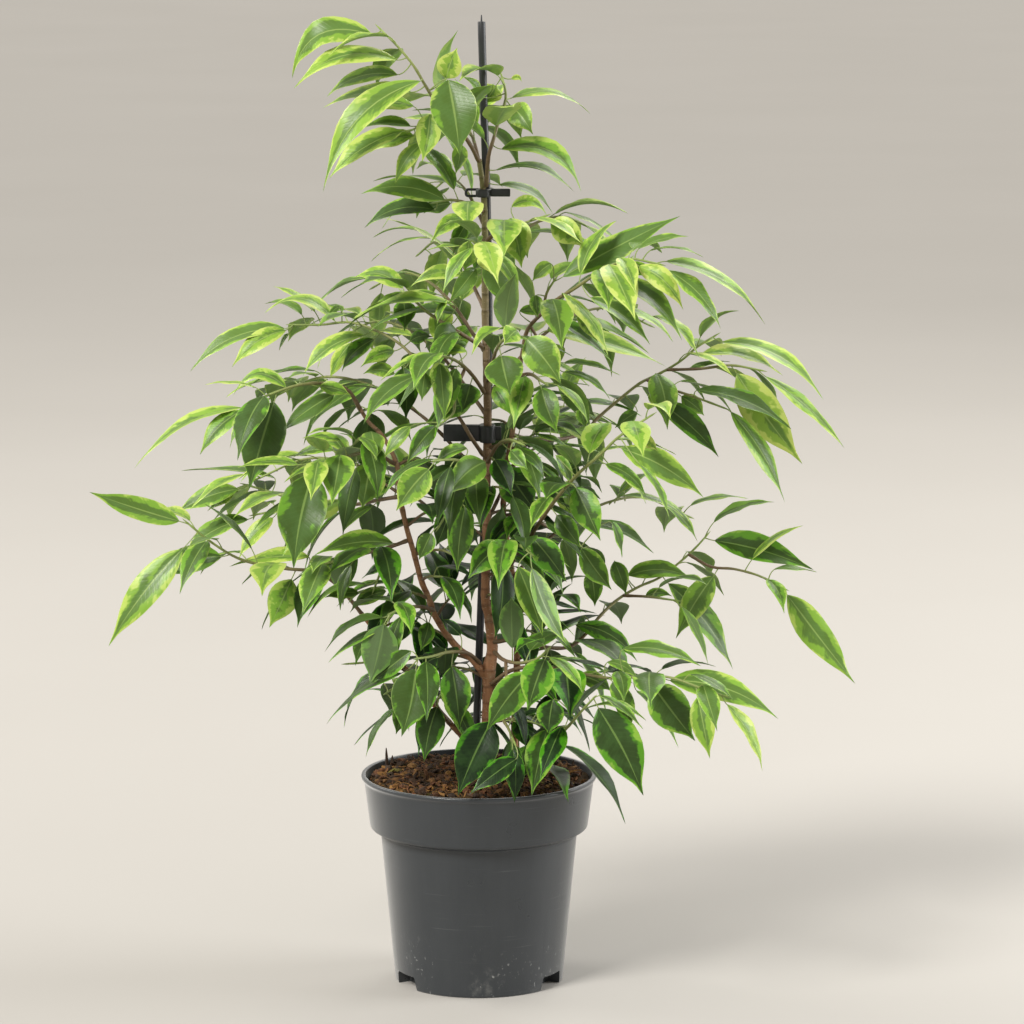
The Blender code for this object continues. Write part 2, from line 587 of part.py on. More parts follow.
spray("right_mid", "stem_right",
      [(30, 492, 4), (48, 488, -6), (70, 488, -16), (92, 494, -26), (106, 508, -34), (122, 522, -40),
       (142, 538, -46), (160, 547, -50), (178, 558, -54), (192, 570, -56), (206, 579, -58)],
      [(212, 582, 304, 523, 12, 17, 6), (188, 567, 268, 545, 9, 9, -14), (252, 546, 323, 480, 11, 5, 6),
       (221, 556, 286, 466, 35, 5, 22), (192, 532, 276, 497, 13, 9, 14), (222, 513, 271, 431, 17, 5, 8),
       (160, 520, 212, 472, 21, 7, 24), (152, 536, 163, 510, 17, 3, 18), (172, 534, 199, 509, 16, 4, 4),
       (140, 512, 120, 498, 12, 3, 12), (90, 516, 95, 498, 12, 2, 16), (74, 526, 103, 508, 16, 5, -12),
       (178, 551, 222, 557, 5, 3, -16), (88, 492, 36, 498, 9, 3, -12)], fill=4,
      twigs=[[(166, 550, -51), (196, 551, -48), (222, 554, -46), (246, 550, -44)],
             [(148, 541, -47), (166, 534, -42), (190, 526, -38), (214, 517, -34)]])
spray("right_front", "stem_right",
      [(36, 545, 18), (46, 546, 34), (54, 541, 50), (60, 537, 64)],
      [(50, 539, 70, 493, 23, 4, 22), (34, 536, 47, 519, 12, 3, 14), (38, 520, 53, 502, 15, 3, 4),
       (52, 552, 76, 540, 10, 3, -24)], fill=1)
spray("right_low_mid", "stem_right",
      [(28, 376, -28), (42, 395, -12), (54, 414, 4), (68, 434, 18), (82, 451, 30), (94, 463, 40),
       (108, 475, 48), (122, 489, 54), (136, 499, 58), (150, 508, 60)],
      [(120, 482, 199, 436, 23, 5, 10), (134, 492, 159, 477, 12, 3, 14), (106, 470, 148, 437, 11, 5, 12),
       (142, 466, 169, 416, 8, 4, -14), (120, 462, 148, 430, 6, 5, -26), (68, 474, 82, 447, 10, 3, -14),
       (86, 445, 108, 397, 26, 4, 24), (62, 430, 91, 390, 19, 4, 16), (84, 398, 118, 353, 21, 5, -8),
       (98, 373, 103, 338, 17, 3, -10), (118, 414, 127, 382, 8, 2, -22), (56, 452, 82, 436, 13, 4, -20)],
      twigs=[[(54, 414, 4), (68, 406, -2), (82, 402, -8), (92, 390, -12), (98, 380, -14)]], fill=4)
spray("right_reach", "trunk",
      [(13, 306, 4), (34, 308, 0), (56, 302, -6), (78, 301, -12), (92, 310, -18), (108, 330, -24),
       (124, 345, -30), (142, 356, -34), (160, 364, -38), (178, 378, -42), (192, 391, -44),
       (200, 400, -46)],
      [(204, 401, 297, 371, 25, 5, 8), (208, 414, 262, 432, 7, 6, -12), (272, 353, 335, 268, 28, 4, 14),
       (132, 366, 190, 363, 16, 7, -18), (166, 360, 226, 281, 23, 8, -6), (213, 369, 175, 309, 25, 3, 22),
       (138, 345, 172, 347, 9, 4, 12), (180, 338, 204, 285, 9, 3, 10), (120, 379, 131, 348, 16, 3, 14),
       (86, 322, 141, 288, 17, 9, 14), (92, 330, 84, 300, 8, 2, 10), (262, 372, 300, 369, 5, 2, -12)],
      twigs=[[(186, 385, -43), (206, 374, -40), (226, 372, -38), (248, 366, -36), (268, 356, -34)],
             [(128, 348, -31), (150, 347, -26), (172, 344, -22)]], fill=4)
spray("right_low", "trunk",
      [(11, 268, 6), (28, 280, 14), (50, 284, 22), (74, 281, 32), (98, 276, 42), (122, 273, 52),
       (146, 275, 60), (170, 274, 66), (196, 265, 70), (216, 258, 72)],
      [(150, 271, 193, 216, 35, 4, 14), (162, 281, 267, 236, 25, 8, -8), (190, 260, 206, 200, 21, 5, 16),
       (222, 255, 253, 188, 12, 6, 4), (84, 288, 118, 261, 15, 5, -12), (62, 268, 96, 245, 10, 4, 10),
       (114, 288, 142, 271, 9, 4, 10), (128, 300, 198, 284, 13, 8, -16), (80, 262, 99, 206, 5, 2, -6),
       (140, 262, 178, 210, 6, 4, -14)], fill=4)
spray("right_foot", "stem_right",
      [(32, 208, -70), (48, 208, -40), (64, 214, -10), (80, 230, 16), (92, 244, 34), (102, 255, 46)],
      [(104, 259, 147, 166, 38, 4, 10), (76, 212, 131, 140, 9, 8, 6), (61, 227, 47, 166, 27, 4, 56),
       (56, 196, 80, 160, 15, 8, 110), (36, 240, 44, 208, 20, 3, 14), (66, 254, 62, 222, 24, 3, 2)],
      fill=1)
spray("front_foot", "trunk",
      [(12, 246, 4), (18, 240, 22), (26, 228, 42), (32, 214, 62)],
      [(34, 200, -9, 167, 19, 5, 30)], fill=1)


# Branches at the back of the crown, which follow a rule

BACK_COUNT = 12
BACK_LOW = 300.0
BACK_HIGH = 715.0
BACK_SPREAD_LOW = 72.0
BACK_SPREAD_HIGH = 50.0
BACK_LEAF_STEP = 27.0
BACKWARD = 90.0
BACK_PHASE = 0.5
GOLDEN_SHARE = 0.618
CROWN_REACH = [(250, 170), (350, 235), (450, 225), (560, 170), (650, 105), (730, 80), (800, 70)]
BACK_SHAPE = [(0.0, 0.0), (0.12, 0.10), (0.30, 0.24), (0.52, 0.34), (0.76, 0.36), (1.0, 0.26)]
BACK_LIFTS = (0, 12, -12, 20)
BACK_SWINGS = (0, 8, -8, 16, -16, 24, -24, 32, -32)


def crown_reach(height):
    """How far a branch that starts at this height reaches from the trunk."""
    for (low, first), (high, second) in zip(CROWN_REACH, CROWN_REACH[1:]):
        if height <= high:
            return lerp(first, second, max(0.0, (height - low) / (high - low)))
    return CROWN_REACH[-1][1]


def point_at(points, height):
    """Where a route passes this height."""
    for low, high in zip(points, points[1:]):
        if low.z <= height <= high.z:
            return low.lerp(high, (height - low.z) / (high.z - low.z))
    return points[-1]


def back_branch(height, turn):
    """The route of a branch that leaves the trunk at this height and in this direction."""
    outward = Vector((math.cos(turn), math.sin(turn), 0.0))
    reach = crown_reach(height)
    foot = point_at(STEMS["trunk"][0][0], height)
    return [foot + outward * (reach * out) + Vector((0, 0, reach * rise)) for out, rise in BACK_SHAPE]


def back_sprays(obstacles):
    """Add the back branches, each turned or lifted as little as keeps it clear of the rest."""
    for i in range(BACK_COUNT):
        up_share = i / (BACK_COUNT - 1)
        height = lerp(BACK_LOW, BACK_HIGH, up_share)
        share = (BACK_PHASE + i * GOLDEN_SHARE) % 1.0
        turn = BACKWARD + lerp(BACK_SPREAD_LOW, BACK_SPREAD_HIGH, up_share) * (2.0 * share - 1.0)
        for lift, swing in itertools.product(BACK_LIFTS, BACK_SWINGS):
            points = back_branch(height + lift, math.radians(turn + swing))
            room = tube(points, [TWIG_FOOT + CLEARANCE] * len(points), TWIG_SIDES)
            if not obstacles.meets(*room, skip=("trunk",)):
                break
        name = "spray_back_%02d" % (i + 1)
        SPRAYS.append({"name": name, "carrier": "trunk", "leaves": [], "fill": 0, "stems": [points],
                       "along": BACK_LEAF_STEP})
        obstacles.add(name + " stem", *tube(points, twig_radii(points, True), TWIG_SIDES))


# Leaves

UP = Vector((0.0, 0.0, 1.0))
FLAT_SHARE = 0.4
KEEL_SHARE = 0.6

# Sections along a blade, as (share of its length, share of its width)
LONG_LEAF = 63.0
LONG_STATIONS = [(0.0, 0.07), (0.22, 0.86), (0.60, 0.78)]
SHORT_STATIONS = [(0.0, 0.09), (0.38, 1.0)]


class Leaf:
    """A blade on its stalk: root on the twig, blade from start to tip over a raised middle."""

    def __init__(self, root, start, tip, width, bow, facing):
        self.root = root
        self.start = start
        self.tip = tip
        self.width = width
        chord = tip - start
        self.length = chord.length
        ahead = chord.normalized()
        facing = facing - ahead * facing.dot(ahead)
        self.facing = facing.normalized()
        steep = abs(ahead.z)
        rise = UP * (1.0 - steep) + self.facing * steep
        rise = (rise - ahead * rise.dot(ahead)).normalized()
        self.middle = (start + tip) / 2 + rise * (2.0 * bow)

    def centre(self, t):
        return self.start * (1 - t) ** 2 + self.middle * (2 * t * (1 - t)) + self.tip * t ** 2

    def ahead(self, t):
        return ((self.middle - self.start) * (1 - t) + (self.tip - self.middle) * t).normalized()

    def mesh(self, grow=0.0, stalk=True):
        """Three-sided sections: flat above, with the rib as a keel below."""
        stations = LONG_STATIONS if self.length > LONG_LEAF else SHORT_STATIONS
        rows = []
        if stalk:
            rows.append((self.root, (self.start - self.root).normalized(), STALK_WIDTH))
        for t, share in stations:
            rows.append((self.centre(t), self.ahead(t), max(self.width * share, BLADE_FOOT_WIDTH)))
        verts = []
        for point, ahead, width in rows:
            side = ahead.cross(self.facing).normalized()
            face = side.cross(ahead).normalized()
            reach = side * (width / 2 + grow * 2)
            above = face * (LEAF_THICKNESS * FLAT_SHARE + grow)
            below = face * (LEAF_THICKNESS * KEEL_SHARE + grow * 2)
            verts += [point - reach + above, point + reach + above, point - below]
        verts.append(self.tip + self.ahead(1.0) * grow)
        faces = [(2, 1, 0)]
        for i in range(len(rows) - 1):
            for k in range(3):
                low, high = i * 3 + k, i * 3 + 3 + k
                next_low, next_high = i * 3 + (k + 1) % 3, i * 3 + 3 + (k + 1) % 3
                faces += bulging(verts, low, next_low, next_high, high)
        end = (len(rows) - 1) * 3
        last = len(verts) - 1
        for k in range(3):
            faces.append((end + k, end + (k + 1) % 3, last))
        return verts, faces


def bulging(verts, a, b, c, d):
    """Split the four-sided face a, b, c, d into the two triangles that stand outwards."""
    normal = (verts[c] - verts[a]).cross(verts[d] - verts[b])
    if (verts[a] + verts[c] - verts[b] - verts[d]).dot(normal) > 0:
        return [(a, b, c), (a, c, d)]
    return [(a, b, d), (b, c, d)]


class Obstacles:
    """What is already placed, so that leaves are bent clear of it."""

    def __init__(self):
        self.items = []

    def add(self, owner, verts, faces):
        low = [min(v[k] for v in verts) for k in range(3)]
        high = [max(v[k] for v in verts) for k in range(3)]
        self.items.append((owner, low, high, BVHTree.FromPolygons(verts, faces)))

    def meets(self, verts, faces, skip=()):
        low = [min(v[k] for v in verts) for k in range(3)]
        high = [max(v[k] for v in verts) for k in range(3)]
        tree = None
        for owner, other_low, other_high, other in self.items:
            if owner in skip:
                continue
            if any(low[k] > other_high[k] or high[k] < other_low[k] for k in range(3)):
                continue
            if tree is None:
                tree = BVHTree.FromPolygons(verts, faces)
            if tree.overlap(other):
                return True
        return False


def is_clear(leaf, owner, obstacles, cross_own=False):
    own_stem = owner + " stem"
    if min(leaf.tip.z, leaf.centre(0.5).z) < LOWEST_LEAF:
        return False
    whole = leaf.mesh(CLEARANCE)
    if cross_own:
        return not obstacles.meets(*whole, skip=(owner, own_stem))
    if obstacles.meets(*whole, skip=(own_stem,)):
        return False
    skip = {item[0] for item in obstacles.items} - {own_stem}
    return not obstacles.meets(*leaf.mesh(CLEARANCE, stalk=False), skip=skip)


def stem_samples(stems, step=3.0):
    """Points along the stems, each with the way ahead there."""
    samples = []
    for points in stems:
        for low, high in zip(points, points[1:]):
            count = max(1, int((high - low).length / step))
            for k in range(count):
                samples.append((low.lerp(high, k / count), (high - low).normalized()))
        samples.append((points[-1], (points[-1] - points[-2]).normalized()))
    return samples


def as_seen(point):
    share = EYE_DISTANCE / (EYE_DISTANCE + point.y)
    flat = EYE + (point - EYE) * share
    return flat.x, flat.z


SHIFTS = [0, 8, -8, 16, -16, 25, -25, 35, -35, 46, -46, 58, -58]
START_NEARER_SHARE = 0.3
USUAL_WIDTH_LIMIT = 34.0
NARROW_SHARE = 0.86
OUTWARD_HINT = 0.4


def seen_leaf(samples, row, shift):
    """The leaf that is seen as the row says, with its tip moved nearer by the shift. A blade
    that is seen narrower than it can be is turned until it looks that narrow."""
    across, up, tip_across, tip_up, seen_width, bow, nearer = row
    root = min(samples, key=lambda item: math.dist(as_seen(item[0]), (across, up)))[0]
    depth = -root.y
    nearer = nearer + shift
    start = seen_at(across, up, depth + nearer * START_NEARER_SHARE)
    tip = seen_at(tip_across, tip_up, depth + nearer)
    if (start - root).length < STALK_LENGTH:
        start = root + (tip - root).normalized() * STALK_LENGTH
    chord = tip - start
    ahead = chord.normalized()
    width = max(abs(seen_width), min(chord.length * WIDEST_RATIO, USUAL_WIDTH_LIMIT) * NARROW_SHARE)
    toward = (EYE - start).normalized()
    face = (toward - ahead * toward.dot(ahead)).normalized()
    side = ahead.cross(face)
    share = min(1.0, abs(seen_width) / width)
    lean = math.sqrt(1.0 - share * share)
    outward = Vector((root.x, root.y, 0.0)).normalized()
    hint = UP + outward * OUTWARD_HINT
    facing = max((face * share + side * lean, face * share - side * lean), key=lambda n: n.dot(hint))
    if seen_width < 0:
        facing = -facing
    return Leaf(root, start, tip, width, bow, facing)


# What is drawn for a leaf that follows a rule, each as a lowest and a highest share
SIZE_RANGE = (0.85, 1.12)
ALONG_TWIG_RANGE = (0.2, 0.7)
LIFT_RANGE = (-0.15, 0.3)
FALL_RANGE = (0.3, 0.95)
FACING_UP_RANGE = (0.7, 1.0)
WIDTH_RANGE = (0.36, 0.43)
BOW_RANGE = (0.07, 0.14)
STALK_EXTRA = 5.0
STALK_RISE = 0.35
FACING_OUT = 0.6


def rule_leaf(draw, root, heading, outward, size):
    """A leaf that grows out from the twig and hangs over."""
    length = size * draw.uniform(*SIZE_RANGE)
    out = outward + heading * draw.uniform(*ALONG_TWIG_RANGE) + UP * draw.uniform(*LIFT_RANGE)
    out = out.normalized()
    stalk = (out + UP * STALK_RISE).normalized()
    start = root + stalk * (STALK_LENGTH + draw.uniform(0.0, STALK_EXTRA))
    ahead = (out - UP * draw.uniform(*FALL_RANGE)).normalized()
    tip = start + ahead * length
    facing = UP * draw.uniform(*FACING_UP_RANGE) + out * FACING_OUT
    width = length * draw.uniform(*WIDTH_RANGE)
    bow = length * draw.uniform(*BOW_RANGE)
    return Leaf(root, start, tip, width, bow, facing)


FIRST_LEAF_SHARE = 0.26
LEAFY_SHARE = 0.78
FILL_TRIES = 14
PLACE_WANDER = 0.04
FIRST_LEAF_SIZE = 88.0
LAST_LEAF_SIZE = 60.0
SIDE_TURN_RANGE = (-0.5, 0.9)
SIDE_TURN_WEIGHT = 0.5
SIDE_AHEAD = 0.3
FRONT_ACROSS = 0.45
FRONT_RISE = 0.3


def side_way(heading, k, draw):
    """The way out for leaf k of a back branch: left and right by turns."""
    side = heading.cross(UP).normalized() * (1 if k % 2 else -1)
    turn = draw.uniform(*SIDE_TURN_RANGE)
    return (side + UP * turn * SIDE_TURN_WEIGHT + heading * SIDE_AHEAD).normalized()


def front_way(k, draw):
    """The way out for leaf k of a branch that is seen from the front: back and front by turns."""
    sign = 1 if k % 2 else -1
    across = draw.uniform(-FRONT_ACROSS, FRONT_ACROSS)
    return Vector((across, sign, draw.uniform(-FRONT_RISE, FRONT_RISE))).normalized()


def fill_leaves(item, samples, draw, obstacles):
    """Further leaves by rule: along a back branch, or to the front and back of a seen one."""
    leaves = []
    reach = sum((b - a).length for a, b in zip(item["stems"][0], item["stems"][0][1:]))
    count = int(reach * LEAFY_SHARE / item["along"]) if "along" in item else item["fill"]
    main = stem_samples(item["stems"][:1])
    last = len(main) - 1
    for k in range(count):
        share = lerp(FIRST_LEAF_SHARE, 1.0, (k + 0.5) / count)
        size = lerp(FIRST_LEAF_SIZE, LAST_LEAF_SIZE, share)
        for attempt in range(FILL_TRIES):
            place = int((share + draw.uniform(-PLACE_WANDER, PLACE_WANDER)) * last)
            root, heading = main[min(last, max(0, place))]
            outward = side_way(heading, k, draw) if "along" in item else front_way(k + attempt, draw)
            leaf = rule_leaf(draw, root, heading, outward, size)
            if is_clear(leaf, item["name"], obstacles):
                leaves.append(leaf)
                obstacles.add(item["name"], *leaf.mesh())
                break
    return leaves


def seen_leaves(item, samples, obstacles):
    leaves = []
    for row in item["leaves"]:
        for cross_own in (False, True):
            chosen = None
            for shift in SHIFTS:
                leaf = seen_leaf(samples, row, shift)
                if is_clear(leaf, item["name"], obstacles, cross_own):
                    chosen = leaf
                    break
            if chosen:
                leaves.append(chosen)
                obstacles.add(item["name"], *chosen.mesh())
                break
    return leaves


SIDE_TWIG_SHARE = 0.75


def twig_radii(points, main):
    foot = TWIG_FOOT if main else TWIG_FOOT * SIDE_TWIG_SHARE
    return [lerp(foot, TWIG_END, i / (len(points) - 1)) for i in range(len(points))]


def place_leaves(fixed):
    """Choose every leaf. The seen ones come first, then those that the rule adds."""
    obstacles = Obstacles()
    for owner, verts, faces in fixed:
        obstacles.add(owner, verts, faces)
    for item in SPRAYS:
        for k, points in enumerate(item["stems"]):
            obstacles.add(item["name"] + " stem", *tube(points, twig_radii(points, k == 0), TWIG_SIDES))
    back_sprays(obstacles)
    for item in SPRAYS:
        item["samples"] = stem_samples(item["stems"])
        item["placed"] = seen_leaves(item, item["samples"], obstacles)
    draw = random.Random(SEED)
    for item in SPRAYS:
        item["placed"] += fill_leaves(item, item["samples"], draw, obstacles)


# Building

def fixed_solids():
    """The solids that leaves keep clear of, as plain meshes."""
    solids = [("pot", *turned(pot_profile(), POT_SEGMENTS))]
    solids.append(("stake", *tube(*stake_points(), STEM_SIDES)))
    for name, limbs in STEMS.items():
        for k, (points, radii) in enumerate(limbs):
            solids.append((name if k == 0 else name + " limb", *tube(points, radii, STEM_SIDES)))
    for name, verts, faces in clip_solids():
        solids.append((name, verts, faces))
    solids.append(("soil", *turned(SOIL_ROOM, POT_SEGMENTS)))
    return solids


def grown_stems(name):
    """Cutters a little larger than a stem, which leave the gap round it."""
    cutters = []
    for points, radii in STEMS[name]:
        cutters.append(guide("grown", *tube(points, radii, STEM_SIDES, grow=GAP)))
    return cutters


def grown_stake():
    points, radii = stake_points()
    return guide("grown", *tube(points, radii, STEM_SIDES, grow=GAP))


def build_stem(name):
    limbs = STEMS[name]
    stem = make_object(name, *tube(*limbs[0], STEM_SIDES), BARK)
    others = [guide("limb", *tube(points, radii, STEM_SIDES)) for points, radii in limbs[1:]]
    if others:
        combine(stem, others, "UNION")
        finish_shading(stem)
    return stem


def build_stake():
    points, radii = stake_points()
    return make_object("stake", *tube(points, radii, STEM_SIDES), STAKE_BLACK)


def build_spray(item):
    points = item["stems"][0]
    obj = make_object(item["name"], *tube(points, twig_radii(points, True), TWIG_SIDES), GREEN)
    others = []
    for points in item["stems"][1:]:
        others.append(guide("twig", *tube(points, twig_radii(points, False), TWIG_SIDES)))
    for leaf in item["placed"]:
        others.append(guide("leaf", *leaf.mesh()))
    combine(obj, others, "UNION")
    combine(obj, grown_stems(item["carrier"]), "DIFFERENCE")
    keep_largest(obj)
    merge_flat_faces(obj)
    finish_shading(obj)
    return obj


def merge_flat_faces(obj):
    """Join the slivers that a union leaves on flat faces, if the body stays closed."""
    shape = bmesh.new()
    shape.from_mesh(obj.data)
    bmesh.ops.dissolve_limit(shape, angle_limit=FLAT_ANGLE, verts=shape.verts, edges=shape.edges)
    bmesh.ops.triangulate(shape, faces=shape.faces)
    mesh = bpy.data.meshes.new(obj.name)
    shape.to_mesh(mesh)
    shape.free()
    if is_closed(mesh):
        paint_like(mesh, obj.data)
        obj.data = mesh


def paint_like(mesh, other):
    for material in other.materials:
        mesh.materials.append(material)


def keep_largest(obj):
    """Drop loose scraps: only the largest connected body stays."""
    mesh = obj.data
    parent = list(range(len(mesh.vertices)))

    def find(v):
        while parent[v] != v:
            parent[v] = parent[parent[v]]
            v = parent[v]
        return v

    for edge in mesh.edges:
        a, b = find(edge.vertices[0]), find(edge.vertices[1])
        parent[a] = b
    groups = {}
    for v in range(len(mesh.vertices)):
        groups.setdefault(find(v), set()).add(v)
    if len(groups) < 2:
        return
    keep = max(groups.values(), key=len)
    verts = [v.co / UNIT for v in mesh.vertices if v.index in keep]
    new_index = {old: new for new, old in enumerate(sorted(keep))}
    kept = [face for face in mesh.polygons if face.vertices[0] in keep]
    faces = [tuple(new_index[v] for v in face.vertices) for face in kept]
    mesh.clear_geometry()
    mesh.from_pydata([v * UNIT for v in verts], [], faces)
    mesh.update()


# Clips that hold the trunk to the stake

CLIP_WALL = 2.0
RING_SIDES = 12

# Each clip: its height, how far its band reaches round the stems, how tall it is,
# and its tabs as two corners each, with their height counted from the clip's
CLIPS = {
    "clip_upper": (706.0, 4.6, 7.0, [((9.0, 1.5, -3.4), (28.0, 6.5, 3.4)),
                                     ((-12.0, -1.0, -4.0), (-1.0, 7.0, 4.0))]),
    "clip_lower": (493.0, 5.0, 15.0, [((-31.0, 1.0, -7.0), (1.5, 8.5, 7.5)),
                                      ((12.0, 1.0, -6.0), (20.0, 8.0, 6.0))]),
}


def ring_round(height, spread, tall):
    """An upright band round the trunk and the stake at this height."""
    trunk = point_at(STEMS["trunk"][0][0], height)
    stake = point_at(stake_points()[0], height)
    toward = Vector((stake.x - trunk.x, stake.y - trunk.y, 0.0)).normalized()
    side = Vector((-toward.y, toward.x, 0.0))
    outline = []
    for k in range(RING_SIDES):
        turn = 2 * math.pi * (k + 0.5) / RING_SIDES
        centre = stake if math.cos(turn) > 0 else trunk
        reach = (toward * math.cos(turn) + side * math.sin(turn)) * spread
        outline.append(Vector((centre.x, centre.y, 0.0)) + reach)
    verts = []
    for z in (height - tall / 2, height + tall / 2):
        verts += [(p.x, p.y, z) for p in outline]
    faces = [tuple(reversed(range(RING_SIDES))), tuple(range(RING_SIDES, 2 * RING_SIDES))]
    for k in range(RING_SIDES):
        n = (k + 1) % RING_SIDES
        faces.append((k, n, RING_SIDES + n, RING_SIDES + k))
    return verts, faces


def clip_solids():
    """The clips' blocks: a band round trunk and stake, with the closing tabs beside it."""
    solids = []
    for name, (height, hold, tall, tabs) in CLIPS.items():
        solids.append((name, *ring_round(height, hold + CLIP_WALL, tall)))
        lift = Vector((0.0, 0.0, height))
        for low, high in tabs:
            solids.append((name, *box(Vector(low) + lift, Vector(high) + lift)))
    return solids


def build_clip(name):
    solids = [solid[1:] for solid in clip_solids() if solid[0] == name]
    clip = make_object(name, *solids[0], CLIP_BLACK)
    combine(clip, [guide("tab", *solid) for solid in solids[1:]], "UNION")
    combine(clip, grown_stems("trunk") + [grown_stake()], "DIFFERENCE")
    keep_largest(clip)
    finish_shading(clip)
    return clip


def main():
    for obj in list(bpy.data.objects):
        bpy.data.objects.remove(obj)
    place_leaves(fixed_solids())
    build_pot()
    holes = []
    for name in STEMS:
        holes += grown_stems(name)
    build_soil(holes + [grown_stake()])
    build_stake()
    for name in STEMS:
        build_stem(name)
    for name in CLIPS:
        build_clip(name)
    for item in SPRAYS:
        build_spray(item)


main()
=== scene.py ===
"""The looks of a variegated weeping fig in a grey nursery pot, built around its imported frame.

Lengths in the tables are millimetres, and the meshes are written in metres, +Z up.
A place is given as it is seen from the front: how far across, how far up, and how much
nearer to the viewer than the upright plane through the pot's middle.
"""
import itertools
import math
import random

import bpy
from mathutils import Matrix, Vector, noise
from mathutils.bvhtree import BVHTree


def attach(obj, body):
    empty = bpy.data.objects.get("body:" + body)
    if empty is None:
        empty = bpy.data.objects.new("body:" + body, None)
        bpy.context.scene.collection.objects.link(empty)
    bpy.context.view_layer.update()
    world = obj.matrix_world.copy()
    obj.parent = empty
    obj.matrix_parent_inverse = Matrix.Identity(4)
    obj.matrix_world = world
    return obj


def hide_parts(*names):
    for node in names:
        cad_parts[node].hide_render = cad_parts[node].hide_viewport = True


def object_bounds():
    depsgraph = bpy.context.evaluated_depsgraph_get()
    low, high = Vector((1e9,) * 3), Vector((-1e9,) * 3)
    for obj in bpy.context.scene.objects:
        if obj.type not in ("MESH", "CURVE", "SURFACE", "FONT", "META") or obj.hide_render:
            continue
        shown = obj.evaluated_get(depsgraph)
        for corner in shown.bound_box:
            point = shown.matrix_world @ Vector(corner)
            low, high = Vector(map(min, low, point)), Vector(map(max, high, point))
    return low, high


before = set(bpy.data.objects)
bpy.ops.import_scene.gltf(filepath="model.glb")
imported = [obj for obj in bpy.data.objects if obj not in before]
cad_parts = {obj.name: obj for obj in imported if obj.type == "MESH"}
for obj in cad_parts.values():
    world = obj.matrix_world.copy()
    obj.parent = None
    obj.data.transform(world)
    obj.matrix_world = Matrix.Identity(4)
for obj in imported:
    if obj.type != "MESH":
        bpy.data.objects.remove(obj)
cad_low, cad_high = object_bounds()

UNIT = 0.001

# Driving dimensions, the same as the frame's
RIM_RADIUS = 105.0
POT_HEIGHT = 187.0
FOOT_RADIUS = 75.0
BODY_RADIUS = 88.0
COLLAR_RADIUS = 97.5
COLLAR_HEIGHT = 48.5
WALL = 1.8
FLOOR_THICKNESS = 2.5
SOIL_LEVEL = 181.5
STAKE_TOP = 855.0
STAKE_RADIUS = 3.4
GAP = 0.35

# The viewer, and the view that the places in the tables are read from
EYE = Vector((29.5, -4200.0, 1126.0))
EYE_DISTANCE = 4200.0
CAMERA_PITCH = math.radians(9.5)
CAMERA_LENS = 169.3
CAMERA_SENSOR = 36.0
FLOOR_HALF = 60.0

# The key light's direction, and the soft lights: place and aim in metres, power and colour
KEY_FROM = (-0.50, -0.56, 0.66)
KEY_SPREAD = math.radians(20)
KEY_STRENGTH = 3.65
KEY_COLOUR = (1.0, 0.975, 0.93)
SOFT_LIGHT_SIZE = 1.8
SOFT_LIGHTS = {
    "fill": ((3.1, 0.1, 1.2), (0.0, 0.0, 0.3), 100.0, (0.98, 0.99, 1.0)),
    "back": ((1.4, 2.7, 2.7), (0.0, 0.0, 0.5), 46.0, (1.0, 0.98, 0.94)),
    "back_left": ((-2.9, 1.3, 2.0), (0.0, 0.0, 0.4), 62.0, (1.0, 0.98, 0.94)),
}
SKY_COLOUR = (0.80, 0.765, 0.71, 1.0)
SKY_STRENGTH = 0.74

# Leaf proportions of the frame's blades
LEAF_THICKNESS = 1.5
STALK_WIDTH = 1.3
BLADE_FOOT_WIDTH = 2.0
STALK_LENGTH = 9.0
WIDEST_RATIO = 0.42
CLEARANCE = 1.2
LOWEST_LEAF = 8.0

SEED = 11


# Camera, light and floor

def add_camera():
    data = bpy.data.cameras.new("camera")
    data.lens = CAMERA_LENS
    data.sensor_width = CAMERA_SENSOR
    camera = bpy.data.objects.new("camera", data)
    camera.location = EYE * UNIT
    camera.rotation_euler = (math.pi / 2 - CAMERA_PITCH, 0.0, 0.0)
    bpy.context.scene.collection.objects.link(camera)
    bpy.context.scene.camera = camera


def add_soft_light(name, place, aim, power, colour):
    """A wide square light that the camera doesn't see."""
    data = bpy.data.lights.new(name, "AREA")
    data.shape = "SQUARE"
    data.size = SOFT_LIGHT_SIZE
    data.energy = power
    data.color = colour
    light = bpy.data.objects.new(name, data)
    light.location = place
    light.rotation_euler = (Vector(aim) - Vector(place)).to_track_quat("-Z", "Y").to_euler()
    light.visible_camera = False
    bpy.context.scene.collection.objects.link(light)


def add_key():
    """One wide soft light from the upper left that lights the whole floor evenly."""
    data = bpy.data.lights.new("key", "SUN")
    data.energy = KEY_STRENGTH
    data.angle = KEY_SPREAD
    data.color = KEY_COLOUR
    light = bpy.data.objects.new("key", data)
    light.rotation_euler = (-Vector(KEY_FROM)).to_track_quat("-Z", "Y").to_euler()
    bpy.context.scene.collection.objects.link(light)


def add_studio():
    add_key()
    for name, settings in SOFT_LIGHTS.items():
        add_soft_light(name, *settings)
    world = bpy.data.worlds.new("world")
    world.use_nodes = True
    sky = world.node_tree.nodes["Background"]
    sky.inputs["Color"].default_value = SKY_COLOUR
    sky.inputs["Strength"].default_value = SKY_STRENGTH
    bpy.context.scene.world = world
    bpy.context.scene.view_settings.view_transform = "Standard"


def add_floor():
    half = FLOOR_HALF
    corners = [(-half, -half, 0), (half, -half, 0), (half, half, 0), (-half, half, 0)]
    mesh = bpy.data.meshes.new("floor")
    mesh.from_pydata(corners, [], [(0, 1, 2, 3)])
    floor = bpy.data.objects.new("floor", mesh)
    bpy.context.scene.collection.objects.link(floor)
    mesh.materials.append(floor_material())


